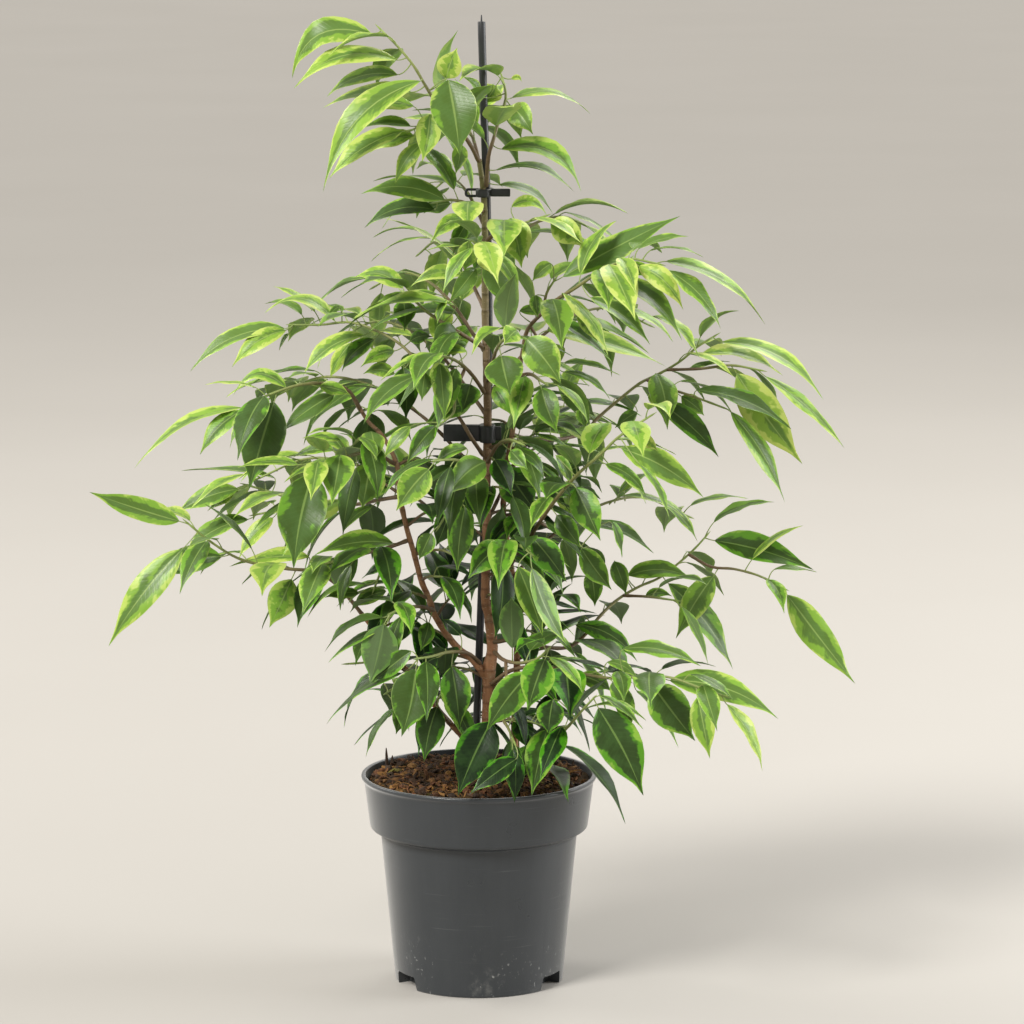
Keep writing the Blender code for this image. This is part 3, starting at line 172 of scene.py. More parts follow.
# Materials
#
# Noise scales are waves per metre, and a step's two levels lie in the noise's range from 0 to 1.
# A pair of tones holds the two ends between which a noise mixes.

FLOOR_TONES = ((0.375, 0.359, 0.335), (0.405, 0.389, 0.365))

# Leaf tones, each as it is on a fresh leaf and on an old leaf deep in the crown's painted shade
CORE_TONE = ((0.155, 0.275, 0.048), (0.010, 0.028, 0.007))
PATCH_TONE = ((0.170, 0.310, 0.072), (0.024, 0.064, 0.014))
VIVID_TONE = ((0.31, 0.49, 0.068), (0.068, 0.285, 0.009))
RIM_TONE = ((0.60, 0.71, 0.155), (0.19, 0.44, 0.028))
RIM_STREAK_TONE = ((0.62, 0.70, 0.24), (0.26, 0.44, 0.07))
HEM_TONE = ((0.60, 0.69, 0.25), (0.27, 0.42, 0.11))
VEIN_TONE = ((0.36, 0.52, 0.14), (0.09, 0.18, 0.05))
RIB_TONE = ((0.42, 0.56, 0.16), (0.15, 0.27, 0.06))
UNDER_TONE = ((0.34, 0.44, 0.20), (0.15, 0.24, 0.10))
GLOW_TONE = ((0.46, 0.68, 0.06), (0.12, 0.34, 0.02))

# How far the leaf's blobs and streaks are stretched along it, across it and from leaf to leaf
BLOB_STRETCH = (3.4, 1.2, 57.0)
STREAK_STRETCH = (26.0, 1.4, 91.0)
SIDE_APART = 7.0
VEIN_SLANT = 0.13
VEIN_WAVES = 118.0
GLOW_SHARE = 0.24

TWIG_BARK_TONES = ((0.085, 0.052, 0.026), (0.20, 0.135, 0.07))
TWIG_SHOOT_TONES = ((0.16, 0.24, 0.05), (0.30, 0.38, 0.11))

BARK_LOW_TONES = ((0.17, 0.070, 0.030), (0.50, 0.25, 0.125))
BARK_MIDDLE_TONES = ((0.080, 0.052, 0.028), (0.25, 0.175, 0.10))
BARK_HIGH_TONES = ((0.085, 0.078, 0.026), (0.27, 0.25, 0.10))
BARK_BLOTCH_TONE = (0.34, 0.25, 0.15)
BARK_PORE_TONE = (0.52, 0.38, 0.24)
BARK_RING_TONE = (0.05, 0.025, 0.014)
BARK_RING_WAVES = 430.0

POT_TONES = ((0.0185, 0.0225, 0.0260), (0.0285, 0.0330, 0.0375))
POT_STREAK_TONE = (0.040, 0.045, 0.050)
POT_DUST_TONE = (0.20, 0.20, 0.19)
POT_SPLASH_TONE = (0.42, 0.43, 0.42)
POT_SCRATCH_TONE = (0.16, 0.17, 0.17)
POT_SHEEN = 0.54
POT_SHEEN_ROUGHNESS = 0.35

# The stretch of the pot's height round its step that has no sheen, as painted shade under the collar, and
# how softly it ends, in metres
STEP_SHADE_FOOT = 0.1345
STEP_SHADE_TOP = 0.1395
STEP_SHADE_BLUR = 0.003

SOIL_TONES = ((0.010, 0.007, 0.003), (0.085, 0.048, 0.016))
SOIL_CLOD_TONE = (0.13, 0.070, 0.020)
CHIP_DARK_TONES = ((0.014, 0.010, 0.008), (0.060, 0.036, 0.022))
CHIP_MIDDLE_TONES = ((0.080, 0.031, 0.015), (0.190, 0.080, 0.034))
CHIP_WARM_TONES = ((0.140, 0.066, 0.016), (0.29, 0.150, 0.040))
CHIP_MOSS_TONES = ((0.060, 0.058, 0.010), (0.16, 0.150, 0.028))
CHIP_PATCH_TONES = ((0.020, 0.014, 0.010), (0.10, 0.055, 0.022))
BLACK_TONES = ((0.008, 0.009, 0.010), (0.026, 0.028, 0.030))
STAKE_ROUGHNESS = 0.42
CLIP_ROUGHNESS = 0.35


class Nodes:
    """Short calls for building one material's node tree."""

    def __init__(self, name, roughness, specular=0.5):
        self.material = bpy.data.materials.new(name)
        self.material.use_nodes = True
        self.tree = self.material.node_tree
        self.shader = self.tree.nodes["Principled BSDF"]
        self.output = self.tree.nodes["Material Output"]
        self.shader.inputs["Roughness"].default_value = roughness
        self.shader.inputs["Specular IOR Level"].default_value = specular

    def add(self, kind, **settings):
        node = self.tree.nodes.new("ShaderNode" + kind)
        for key, value in settings.items():
            setattr(node, key, value)
        return node

    def link(self, source, target):
        if isinstance(source, (int, float)):
            target.default_value = source
        elif isinstance(source, tuple):
            target.default_value = source if len(target.default_value) == len(source) else (*source, 1.0)
        else:
            self.tree.links.new(source, target)

    def math(self, operation, *values):
        node = self.add("Math", operation=operation)
        for value, socket in zip(values, node.inputs):
            self.link(value, socket)
        return node.outputs[0]

    def mix(self, share, first, second, kind="MIX"):
        node = self.add("Mix", data_type="RGBA", blend_type=kind)
        self.link(share, node.inputs["Factor"])
        self.link(first, node.inputs[6])
        self.link(second, node.inputs[7])
        return node.outputs[2]

    def step(self, value, low, high, to_low=0.0, to_high=1.0):
        """A soft step: to_low where the value is under low, to_high where it is over high."""
        node = self.add("MapRange", interpolation_type="SMOOTHSTEP")
        for socket, source in zip(node.inputs[:5], (value, low, high, to_low, to_high)):
            self.link(source, socket)
        return node.outputs[0]

    def noise(self, place, scale, detail=3.0, roughness=0.5, distortion=0.0):
        node = self.add("TexNoise")
        if place is not None:
            self.link(place, node.inputs["Vector"])
        node.inputs["Scale"].default_value = scale
        node.inputs["Detail"].default_value = detail
        node.inputs["Roughness"].default_value = roughness
        node.inputs["Distortion"].default_value = distortion
        return node.outputs["Fac"]

    def stretch(self, place, scale):
        node = self.add("Mapping")
        self.link(place, node.inputs["Vector"])
        node.inputs["Scale"].default_value = scale
        return node.outputs["Vector"]

    def combine(self, x, y, z):
        node = self.add("CombineXYZ")
        for source, socket in zip((x, y, z), node.inputs):
            self.link(source, socket)
        return node.outputs[0]

    def place(self):
        """The place on the object in metres."""
        return self.add("TexCoord").outputs["Object"]

    def height(self, place):
        split = self.add("SeparateXYZ")
        self.link(place, split.inputs[0])
        return split.outputs[2]

    def value(self, name):
        """A number that the mesh stores."""
        return self.add("Attribute", attribute_name=name).outputs["Fac"]

    def bump(self, height, distance, strength=1.0):
        node = self.add("Bump")
        node.inputs["Distance"].default_value = distance
        node.inputs["Strength"].default_value = strength
        self.link(height, node.inputs["Height"])
        self.link(node.outputs["Normal"], self.shader.inputs["Normal"])

    def colour(self, source):
        self.link(source, self.shader.inputs["Base Color"])


def floor_material():
    n = Nodes("floor", 0.6, 0.3)
    n.colour(n.mix(n.noise(n.place(), 1.3, 3.0), *FLOOR_TONES))
    return n.material


class BladeMap:
    """Where a point lies on its leaf, and what the mesh says about that leaf."""

    def __init__(self, n):
        self.n = n
        split = n.add("SeparateXYZ")
        n.link(n.add("UVMap", uv_map="leaf").outputs["UV"], split.inputs[0])
        self.along = split.outputs[0]
        # The mesh's age value holds the leaf's age together with painted shade.
        self.seed, self.age = n.value("seed"), n.value("age")
        self.lime, self.under = n.value("lime"), n.value("under")
        signed = n.math("SUBTRACT", n.math("MULTIPLY", split.outputs[1], 2.0), 1.0)
        self.out = n.math("ABSOLUTE", signed)
        self.blob_place = self.stretched(self.along, signed, BLOB_STRETCH)
        self.vein_line = n.math("SUBTRACT", self.along, n.math("MULTIPLY", self.out, VEIN_SLANT))
        side = n.math("MULTIPLY", n.math("SIGN", signed), SIDE_APART)
        streak_place = self.stretched(self.vein_line, self.out, STREAK_STRETCH, side)
        wide_place = n.stretch(self.blob_place, (1.3, 0.8, 1.7))
        self.blob = n.math("SUBTRACT", n.noise(self.blob_place, 1.25, 2.0), 0.5)
        self.streak = n.math("SUBTRACT", n.noise(streak_place, 1.0, 3.0, 0.6), 0.5)
        self.other_blob = n.math("SUBTRACT", n.noise(wide_place, 1.6, 2.0), 0.5)

    def stretched(self, along, across, stretch, shift=0.0):
        """A place on the blade for a noise, moved apart for each leaf."""
        n = self.n
        return n.combine(n.math("MULTIPLY", along, stretch[0]),
                         n.math("MULTIPLY_ADD", across, stretch[1], shift),
                         n.math("MULTIPLY", self.seed, stretch[2]))

    def aged_and_shaded(self, tone):
        """The tone for this leaf's age and painted shade."""
        return self.n.mix(self.age, *tone)


def leaf_zones(n, blade):
    """The dark core, the vivid green round it, the lime margin and the pale hem."""
    tip_share = n.step(blade.along, 0.70, 1.0, 0.0, 0.22)
    reach = n.math("ADD", blade.out, n.math("MULTIPLY_ADD", blade.streak, 0.52, tip_share))
    core_edge = n.math("MULTIPLY_ADD", blade.lime, -1.15, 1.00)
    core_reach = n.math("SUBTRACT", n.math("MULTIPLY_ADD", blade.blob, 1.7, reach), core_edge)
    rim_edge = n.math("MULTIPLY_ADD", blade.lime, -0.78, 1.18)
    rim_reach = n.math("SUBTRACT", n.math("MULTIPLY_ADD", blade.other_blob, 1.5, reach), rim_edge)
    vivid = n.step(core_reach, -0.10, 0.13)
    margin = n.step(rim_reach, -0.08, 0.12)
    patch = n.step(blade.other_blob, -0.12, 0.16, 0.0, 0.75)
    pale_streak = n.step(blade.streak, -0.10, 0.20, 0.0, 0.4)
    hem_fades = n.math("MULTIPLY_ADD", blade.age, -0.42, 0.85)
    hem = n.math("MULTIPLY", n.step(blade.out, 0.955, 0.985), hem_fades)
    core = n.mix(patch, blade.aged_and_shaded(CORE_TONE), blade.aged_and_shaded(PATCH_TONE))
    rim = n.mix(pale_streak, blade.aged_and_shaded(RIM_TONE), blade.aged_and_shaded(RIM_STREAK_TONE))
    face = n.mix(margin, n.mix(vivid, core, blade.aged_and_shaded(VIVID_TONE)), rim)
    return n.mix(hem, face, blade.aged_and_shaded(HEM_TONE))


def leaf_material():
    """Dark green along the rib, vivid green outside it and an uneven lime margin, split along the veins."""
    n = Nodes("leaf", 0.34, 0.30)
    blade = BladeMap(n)
    face = leaf_zones(n, blade)

    # The fine side veins, the rib and the paler underside
    vein_wave = n.math("SINE", n.math("MULTIPLY", blade.vein_line, VEIN_WAVES))
    veins = n.math("POWER", n.math("MULTIPLY_ADD", vein_wave, 0.5, 0.5), 8.0)
    face = n.mix(n.math("MULTIPLY", veins, 0.06), face, blade.aged_and_shaded(VEIN_TONE))
    rib_width = n.math("MULTIPLY_ADD", n.math("SUBTRACT", 1.0, blade.along), 0.030, 0.006)
    rib = n.math("SUBTRACT", 1.0, n.step(n.math("SUBTRACT", blade.out, rib_width), 0.0, 0.04))
    face = n.mix(n.math("MULTIPLY", rib, 0.72), face, blade.aged_and_shaded(RIB_TONE))
    face = n.mix(blade.under, face, n.mix(0.45, face, blade.aged_and_shaded(UNDER_TONE)))
    n.colour(face)

    gloss = n.noise(n.stretch(blade.blob_place, (2.2, 2.2, 1.0)), 2.6, 2.0)
    rough = n.math("MULTIPLY_ADD", blade.under, 0.22, n.math("MULTIPLY_ADD", gloss, 0.16, 0.24))
    n.link(rough, n.shader.inputs["Roughness"])
    n.bump(n.math("MULTIPLY_ADD", veins, -0.22, n.math("MULTIPLY", gloss, 0.5)), 0.0004, 0.5)

    glow = n.add("BsdfTranslucent")
    n.link(n.mix(0.4, face, blade.aged_and_shaded(GLOW_TONE)), glow.inputs["Color"])
    both = n.add("MixShader")
    both.inputs[0].default_value = GLOW_SHARE
    n.link(n.shader.outputs[0], both.inputs[1])
    n.link(glow.outputs[0], both.inputs[2])
    n.link(both.outputs[0], n.output.inputs["Surface"])
    return n.material


def twig_material():
    """Olive brown at the foot, green towards the tip."""
    n = Nodes("twig", 0.5, 0.4)
    young = n.value("young")
    place = n.place()
    speck = n.noise(place, 420.0, 3.0)
    n.colour(n.mix(young, n.mix(speck, *TWIG_BARK_TONES), n.mix(speck, *TWIG_SHOOT_TONES)))
    n.bump(n.noise(place, 900.0, 3.0), 0.0004, 0.5)
    return n.material


def bark_material():
    """Reddish brown bark, greyer higher up, with pale pores and ring scars."""
    n = Nodes("bark", 0.62, 0.35)
    place = n.place()
    up = n.height(place)
    long_grain = n.noise(n.stretch(place, (1.0, 1.0, 0.16)), 330.0, 4.0, 0.6)
    blotch = n.noise(place, 62.0, 3.0, 0.6)
    low = n.mix(long_grain, *BARK_LOW_TONES)
    middle = n.mix(long_grain, *BARK_MIDDLE_TONES)
    high = n.mix(long_grain, *BARK_HIGH_TONES)
    colour = n.mix(n.step(up, 0.52, 0.72), n.mix(n.step(up, 0.30, 0.60), low, middle), high)
    colour = n.mix(n.step(blotch, 0.52, 0.72, 0.0, 0.5), colour, BARK_BLOTCH_TONE)
    pores = n.step(n.noise(n.stretch(place, (1.0, 1.0, 3.2)), 300.0, 1.0), 0.66, 0.72)
    colour = n.mix(n.math("MULTIPLY", pores, 0.65), colour, BARK_PORE_TONE)
    wave = n.math("SINE", n.math("MULTIPLY", up, BARK_RING_WAVES))
    rings = n.math("POWER", n.math("MULTIPLY_ADD", wave, 0.5, 0.5), 14.0)
    n.colour(n.mix(n.math("MULTIPLY", rings, 0.35), colour, BARK_RING_TONE))
    n.bump(n.math("ADD", n.math("ADD", long_grain, n.math("MULTIPLY", pores, 0.5)), rings), 0.0009, 0.7)
    return n.material


def pot_material():
    """Dark grey moulded plastic with faint streaks, scuffs and splashes near the foot."""
    n = Nodes("pot", 0.42, 0.5)
    place = n.place()
    up = n.height(place)
    cloud = n.noise(place, 22.0, 4.0, 0.6)
    streak = n.noise(n.stretch(place, (1.0, 1.0, 0.05)), 160.0, 2.0)
    grey = n.mix(n.math("MULTIPLY", streak, 0.35), n.mix(cloud, *POT_TONES), POT_STREAK_TONE)

    # Dust and splashes near the foot, and level scratches
    low_share = n.step(up, 0.004, 0.060, 1.0, 0.0)
    dust = n.step(n.noise(place, 46.0, 5.0, 0.7), 0.54, 0.78)
    grey = n.mix(n.math("MULTIPLY", n.math("MULTIPLY", dust, low_share), 0.40), grey, POT_DUST_TONE)
    splash = n.step(n.noise(n.stretch(place, (1.0, 1.0, 0.7)), 310.0, 2.0, 0.6), 0.62, 0.69)
    patch = n.step(n.noise(place, 26.0, 2.0), 0.50, 0.62)
    splash = n.math("MULTIPLY", n.math("MULTIPLY", splash, patch), low_share)
    grey = n.mix(n.math("MULTIPLY", splash, 0.55), grey, POT_SPLASH_TONE)
    scratch = n.step(n.noise(n.stretch(place, (0.22, 0.22, 8.0)), 70.0, 2.0), 0.66, 0.74)
    n.colour(n.mix(n.math("MULTIPLY", scratch, 0.16), grey, POT_SCRATCH_TONE))

    rough = n.math("MULTIPLY_ADD", dust, 0.12, n.math("MULTIPLY_ADD", cloud, 0.16, 0.22))
    n.link(rough, n.shader.inputs["Roughness"])
    # No sheen round the step under the collar: painted shade.
    above = n.step(up, STEP_SHADE_TOP, STEP_SHADE_TOP + STEP_SHADE_BLUR)
    below = n.step(up, STEP_SHADE_FOOT - STEP_SHADE_BLUR, STEP_SHADE_FOOT, 1.0, 0.0)
    sheen = n.math("MULTIPLY", n.math("MAXIMUM", above, below), POT_SHEEN)
    n.link(sheen, n.shader.inputs["Sheen Weight"])
    n.shader.inputs["Sheen Roughness"].default_value = POT_SHEEN_ROUGHNESS
    n.bump(n.math("MULTIPLY_ADD", streak, 0.4, n.noise(place, 850.0, 2.0)), 0.00018, 0.35)
    return n.material


def soil_material():
    n = Nodes("soil", 0.92, 0.2)
    place = n.place()
    grain = n.noise(place, 260.0, 6.0, 0.7)
    clod = n.noise(place, 55.0, 4.0, 0.6)
    n.colour(n.mix(n.step(clod, 0.48, 0.70, 0.0, 0.6), n.mix(grain, *SOIL_TONES), SOIL_CLOD_TONE))
    n.bump(n.math("ADD", grain, clod), 0.0022, 0.9)
    return n.material


def chip_material():
    """Bark crumbs, chips and fibres: each one has its own shade from purplish black to ochre."""
    n = Nodes("chip", 0.85, 0.25)
    shade = n.value("shade")
    place = n.place()
    grain = n.noise(n.stretch(place, (1.0, 1.0, 2.5)), 480.0, 3.0)
    colour = n.mix(grain, *CHIP_DARK_TONES)
    colour = n.mix(n.step(shade, 0.10, 0.50), colour, n.mix(grain, *CHIP_MIDDLE_TONES))
    colour = n.mix(n.step(shade, 0.55, 0.88), colour, n.mix(grain, *CHIP_WARM_TONES))
    colour = n.mix(n.step(shade, 0.93, 0.96), colour, n.mix(grain, *CHIP_MOSS_TONES))
    patch = n.step(n.noise(place, 34.0, 2.0), 0.38, 0.62, 0.0, 0.55)
    n.colour(n.mix(patch, colour, n.mix(shade, *CHIP_PATCH_TONES)))
    n.bump(grain, 0.0006, 0.8)
    return n.material


def black_material(name, roughness):
    """Near-black plastic with a faint moulded grain."""
    n = Nodes(name, roughness, 0.5)
    place = n.place()
    cloud = n.noise(n.stretch(place, (1.0, 1.0, 0.2)), 120.0, 3.0)
    n.colour(n.mix(cloud, *BLACK_TONES))
    n.link(n.math("MULTIPLY_ADD", cloud, 0.2, roughness - 0.1), n.shader.inputs["Roughness"])
    n.bump(n.noise(place, 700.0, 2.0), 0.0002, 0.4)
    return n.material


# Shared geometry

def seen_at(across, up, nearer=0.0):
    """The point seen at (across, up) that lies this much nearer than the middle plane."""
    flat = Vector((across, 0.0, up))
    return flat + (EYE - flat) * (nearer / EYE_DISTANCE)


def lerp(low, high, share):
    return low + (high - low) * share


def clamped(number):
    return max(0.0, min(1.0, number))


def ring_faces(rings, sides):
    """The faces of a closed body whose points lie in rings one after the other."""
    faces = []
    for i in range(rings - 1):
        for k in range(sides):
            low = i * sides
            high = low + sides
            n = (k + 1) % sides
            faces.append((low + k, low + n, high + n, high + k))
    faces.append(tuple(reversed(range(sides))))
    end = (rings - 1) * sides
    faces.append(tuple(end + k for k in range(sides)))
    return faces


def tube(points, radii, sides, grow=0.0):
    """A closed tube along the points. Its rings keep their turn from one to the next."""
    points = [Vector(p) for p in points]
    if grow:
        first = (points[0] - points[1]).normalized() * grow
        last = (points[-1] - points[-2]).normalized() * grow
        points[0] = points[0] + first
        points[-1] = points[-1] + last
    verts = []
    side = None
    for i, point in enumerate(points):
        before = points[max(i - 1, 0)]
        after = points[min(i + 1, len(points) - 1)]
        ahead = (after - before).normalized()
        if side is None:
            side = ahead.orthogonal().normalized()
        side = (side - ahead * side.dot(ahead)).normalized()
        other = ahead.cross(side)
        radius = radii[i] + grow
        for k in range(sides):
            turn = 2 * math.pi * k / sides
            verts.append(point + (side * math.cos(turn) + other * math.sin(turn)) * radius)
    return verts, ring_faces(len(points), sides)


def turned(profile, segments, wobble=None):
    """A solid turned about the pot's axis. The profile runs from the axis under the piece,
    out, up and back to the axis on top."""
    verts = []
    faces = []
    rings = []
    for radius, height in profile:
        if radius == 0.0:
            rings.append([len(verts)])
            verts.append((0.0, 0.0, height))
            continue
        rings.append(list(range(len(verts), len(verts) + segments)))
        for k in range(segments):
            turn = 2 * math.pi * k / segments
            x = radius * math.cos(turn)
            y = radius * math.sin(turn)
            rise = wobble(x, y, height) if wobble else 0.0
            verts.append((x, y, height + rise))
    for low, high in zip(rings, rings[1:]):
        for k in range(segments):
            n = (k + 1) % segments
            if len(low) == 1:
                faces.append((low[0], high[n], high[k]))
            elif len(high) == 1:
                faces.append((low[k], low[n], high[0]))
            else:
                faces.append((low[k], low[n], high[n], high[k]))
    return verts, faces


def box(low, high):
    """Points and faces of an upright block between two corners."""
    verts = [(x, y, z) for z in (low[2], high[2]) for x, y in
             ((low[0], low[1]), (high[0], low[1]), (high[0], high[1]), (low[0], high[1]))]
    faces = [(3, 2, 1, 0), (4, 5, 6, 7)]
    for k in range(4):
        n = (k + 1) % 4
        faces.append((k, n, n + 4, k + 4))
    return verts, faces


POT_SEGMENTS = 30
NOTCH_COUNT = 3
NOTCH_FOOT_WIDTH = 36.0
NOTCH_TOP_WIDTH = 29.0
NOTCH_HEIGHT = 12.3
NOTCH_DEPTH = 14.0
DRAIN_COUNT = 4
DRAIN_RADIUS = 4.0
DRAIN_CIRCLE = 44.0

# The pot's lip: how far it stands out of the collar, where its slope and its edge start below
# the top, how much its corner is eased, and how wide it is on top
LIP_REACH = 3.0
LIP_SLOPE_DROP = 4.6
LIP_EDGE_DROP = 2.4
LIP_EASE = 0.7
LIP_WIDTH = 4.2


def pot_profile():
    """From under the foot, up the outside, over the lip and down the inside. The small numbers
    are the slopes and eased corners beside each main dimension."""
    step = POT_HEIGHT - COLLAR_HEIGHT
    outside = [
        (0.0, 0.0), (FOOT_RADIUS - 1.0, 0.0), (FOOT_RADIUS, 1.5), (BODY_RADIUS - 0.4, step - 4.0),
        (COLLAR_RADIUS - 2.0, step), (COLLAR_RADIUS, step + 3.0),
    ]
    lip = [
        (RIM_RADIUS - LIP_REACH, POT_HEIGHT - LIP_SLOPE_DROP), (RIM_RADIUS, POT_HEIGHT - LIP_EDGE_DROP),
        (RIM_RADIUS - LIP_EASE, POT_HEIGHT), (RIM_RADIUS - LIP_WIDTH, POT_HEIGHT),
    ]
    inside = [
        (COLLAR_RADIUS - WALL, step + 4.0), (COLLAR_RADIUS - WALL - 2.0, step + 2.0),
        (BODY_RADIUS - WALL - 0.4, step - 2.2), (FOOT_RADIUS - WALL + 0.2, FLOOR_THICKNESS + 1.0),
        (FOOT_RADIUS - WALL - 1.2, FLOOR_THICKNESS), (0.0, FLOOR_THICKNESS),
    ]
    return outside + lip + inside


def foot_block(k, inner, outer, widen, low, high):
    """A block across the pot's foot at notch number k, narrower at its top."""
    turn = math.radians(90 + 120 * k)
    outward = Vector((math.cos(turn), math.sin(turn), 0.0))
    along = Vector((-outward.y, outward.x, 0.0))
    verts = []
    for height, width in ((low, NOTCH_FOOT_WIDTH), (high, NOTCH_TOP_WIDTH)):
        spread = width / 2 + widen
        for reach, sign in ((inner, -1), (outer, -1), (outer, 1), (inner, 1)):
            corner = outward * reach + along * (sign * spread)
            verts.append((corner.x, corner.y, height))
    return verts, box((0, 0, 0), (1, 1, 1))[1]


PAD_FOOT = 0.5
PLUG_LOW = 1.0
PLUG_HIGH = 31.0


# The soil's top, from its edge to the middle: radius, height over the soil level
SOIL_MOUND = [(98.6, -3.5), (90.0, -0.2), (64.0, 1.2), (34.0, 2.4), (0.0, 3.0)]

# The room that leaves leave for the soil: radius, height
SOIL_ROOM = [(0.0, 0.0), (95.0, 0.0), (97.0, SOIL_LEVEL), (80.0, SOIL_LEVEL + 3.5),
             (0.0, SOIL_LEVEL + 5.0)]

STAKE_NEARER = -9.5
STAKE_FOOT = 24.0
STAKE_FOOT_ACROSS = -4.0
STAKE_TOP_ACROSS = 3.0
PIN_BASE = 0.4
PIN_HEIGHT = 6.5
PIN_RADII = [0.8, 0.6]
STAKE_ROUTE = [(-3.5, 120), (-3, 190), (-1, 260), (2, 340), (5.5, 430), (8.5, 520), (9, 610), (7.5, 700),
               (5, 780)]


def stake_points():
    """The stake's route and radii: a slim rod with a short pin on its top."""
    points = [Vector((STAKE_FOOT_ACROSS, -STAKE_NEARER, STAKE_FOOT))]
    points += [seen_at(across, up, STAKE_NEARER) for across, up in STAKE_ROUTE]
    top = seen_at(STAKE_TOP_ACROSS, STAKE_TOP, STAKE_NEARER)
    points += [top, top + Vector((0, 0, PIN_BASE)), top + Vector((0, 0, PIN_HEIGHT))]
    radii = [STAKE_RADIUS] * (len(points) - len(PIN_RADII)) + PIN_RADII
    return points, radii


# Stems

TRUNK_ROUTE = [(10, 140, 0), (9, 182, 0), (8, 233, 0), (9, 262, 0), (9, 281, 0), (12, 300, 0),
               (9, 330, 0), (6, 346, 0), (7, 400, 0), (7, 440, 0), (8, 500, 0), (7, 560, 0), (6, 600, 0),
               (6, 650, 0), (5, 700, 0), (1, 735, 0)]
TRUNK_RADII = [6.2, 6.2, 5.4, 5.6, 6.2, 4.8, 4.3, 4.1, 3.8, 3.6, 3.5, 3.3, 3.2, 3.0, 2.7, 2.1]
LIMB_ROUTE = [(8, 272, 1), (-5, 290, 4), (-20, 302, 6), (-38, 328, 8), (-44, 345, 10), (-51, 362, 12),
              (-57, 385, 14), (-64, 410, 14), (-70, 440, 16), (-72, 465, 16), (-84, 490, 18),
              (-98, 505, 20), (-108, 523, 22)]
LIMB_RADII = [3.7, 3.4, 3.1, 2.8, 2.6, 2.5, 2.4, 2.3, 2.2, 2.1, 1.9, 1.7, 1.5]
LEFT_ROUTE = [(2, 150, -44), (-3, 190, -44), (-14, 218, -42), (-22, 228, -40), (-47, 258, -36),
              (-78, 299, -30), (-104, 331, -24)]
LEFT_RADII = [2.9, 2.8, 2.6, 2.5, 2.3, 2.1, 1.8]
RIGHT_ROUTE = [(30, 150, -64), (32, 192, -66), (32, 233, -62), (34, 290, -50), (33, 330, -40),
               (28, 378, -30), (22, 420, -20), (24, 460, -8), (30, 495, 4), (34, 530, 14), (38, 562, 20)]
RIGHT_RADII = [3.6, 3.5, 3.3, 3.0, 2.8, 2.7, 2.5, 2.3, 2.2, 2.0, 1.8]
STEM_SIDES = 8
TWIG_SIDES = 4
TWIG_FOOT = 1.9
TWIG_END = 0.9
DEPTH_SPREAD = 2.0


def places(route):
    return [seen_at(*row) for row in route]


STEMS = {
    "trunk": [(places(TRUNK_ROUTE), TRUNK_RADII), (places(LIMB_ROUTE), LIMB_RADII)],
    "stem_left": [(places(LEFT_ROUTE), LEFT_RADII)],
    "stem_right": [(places(RIGHT_ROUTE), RIGHT_RADII)],
}


# Leafy branches
#
# Each branch names the stem that carries it, its route, any side twigs, and its leaves as
# (blade start across, up, tip across, up, seen width, how high the blade arches over its chord,
# and how much nearer the tip is than the start). A negative width shows the underside.
# "fill" is how many further leaves a rule adds, pointing to the front and the back.

SPRAYS = []


def spray(name, carrier, route, leaves, twigs=(), fill=0):
    """Note down one branch. Its depth away from its foot is spread, so the crown is round."""
    foot = route[0][2]
    stems = []
    for rows in [route] + list(twigs):
        points = []
        for across, up, nearer in rows:
            points.append(seen_at(across, up, foot + (nearer - foot) * DEPTH_SPREAD))
        stems.append(points)
    SPRAYS.append({"name": "spray_" + name, "carrier": carrier, "stems": stems, "leaves": leaves,
                   "fill": fill})


# Top of the plant

spray("top_left", "trunk",
      [(1, 733, 0), (-8, 750, 6), (-20, 766, 12), (-34, 781, 18), (-46, 800, 22), (-56, 817, 24),
       (-70, 834, 22), (-84, 848, 18)],
      [(-88, 853, -162, 806, 22, 24, -6), (-66, 822, -161, 797, 15, 16, 10),
       (-70, 809, -132, 790, 12, 9, -22), (-50, 804, -136, 706, 24, 24, 34),
       (-58, 794, -136, 780, 12, 8, -34), (-56, 782, -118, 777, 15, 6, 6),
       (-52, 768, -106, 761, 9, 4, -10), (-66, 760, -131, 718, 18, 8, 20),
       (-56, 756, -95, 741, 14, 5, -26), (-48, 750, -73, 713, 15, 9, 2), (-26, 805, -16, 738, 40, 4, 34),
       (-42, 775, -49, 733, 22, 3, 26), (-13, 757, -20, 722, 14, 2, 16), (-28, 806, -18, 833, 22, 2, 6)],
      twigs=[[(-30, 777, 16), (-44, 768, 20), (-56, 762, 20)]], fill=2)
spray("top_right", "trunk",
      [(7, 712, 3), (9, 738, 8), (13, 752, 8), (18, 770, 4), (24, 788, -2), (22, 803, -8),
       (19, 812, -12)],
      [(29, 789, 98, 775, 6, 12, -26), (28, 786, 48, 757, 22, 5, 26), (18, 746, 90, 707, 15, 20, -6),
       (15, 726, 84, 707, 6, 11, 20), (17, 807, 6, 784, 20, 5, 10), (23, 809, 38, 803, 5, 3, -6),
       (18, 713, 66, 687, 7, 8, -16), (4, 790, -14, 808, 8, 3, -30)], fill=3)
spray("upper_left", "trunk",
      [(4, 690, 2), (-10, 697, 8), (-24, 700, 6), (-36, 698, 2)],
      [(-18, 703, -103, 705, 20, 11, 6), (-24, 697, -48, 688, 14, 4, 24),
       (-38, 691, -100, 675, 14, 9, -16), (-12, 683, -42, 662, 14, 8, 30),
       (-10, 680, -22, 658, 14, 3, -26)], fill=2)
spray("upper_right", "trunk",
      [(7, 664, 3), (20, 674, 10), (38, 679, 14), (56, 685, 14)],
      [(29, 694, 60, 686, 10, 8, -14), (62, 687, 94, 657, 23, 7, 12), (28, 684, 38, 640, 28, 3, 22),
       (12, 664, 36, 650, 10, 3, -24)], fill=2)
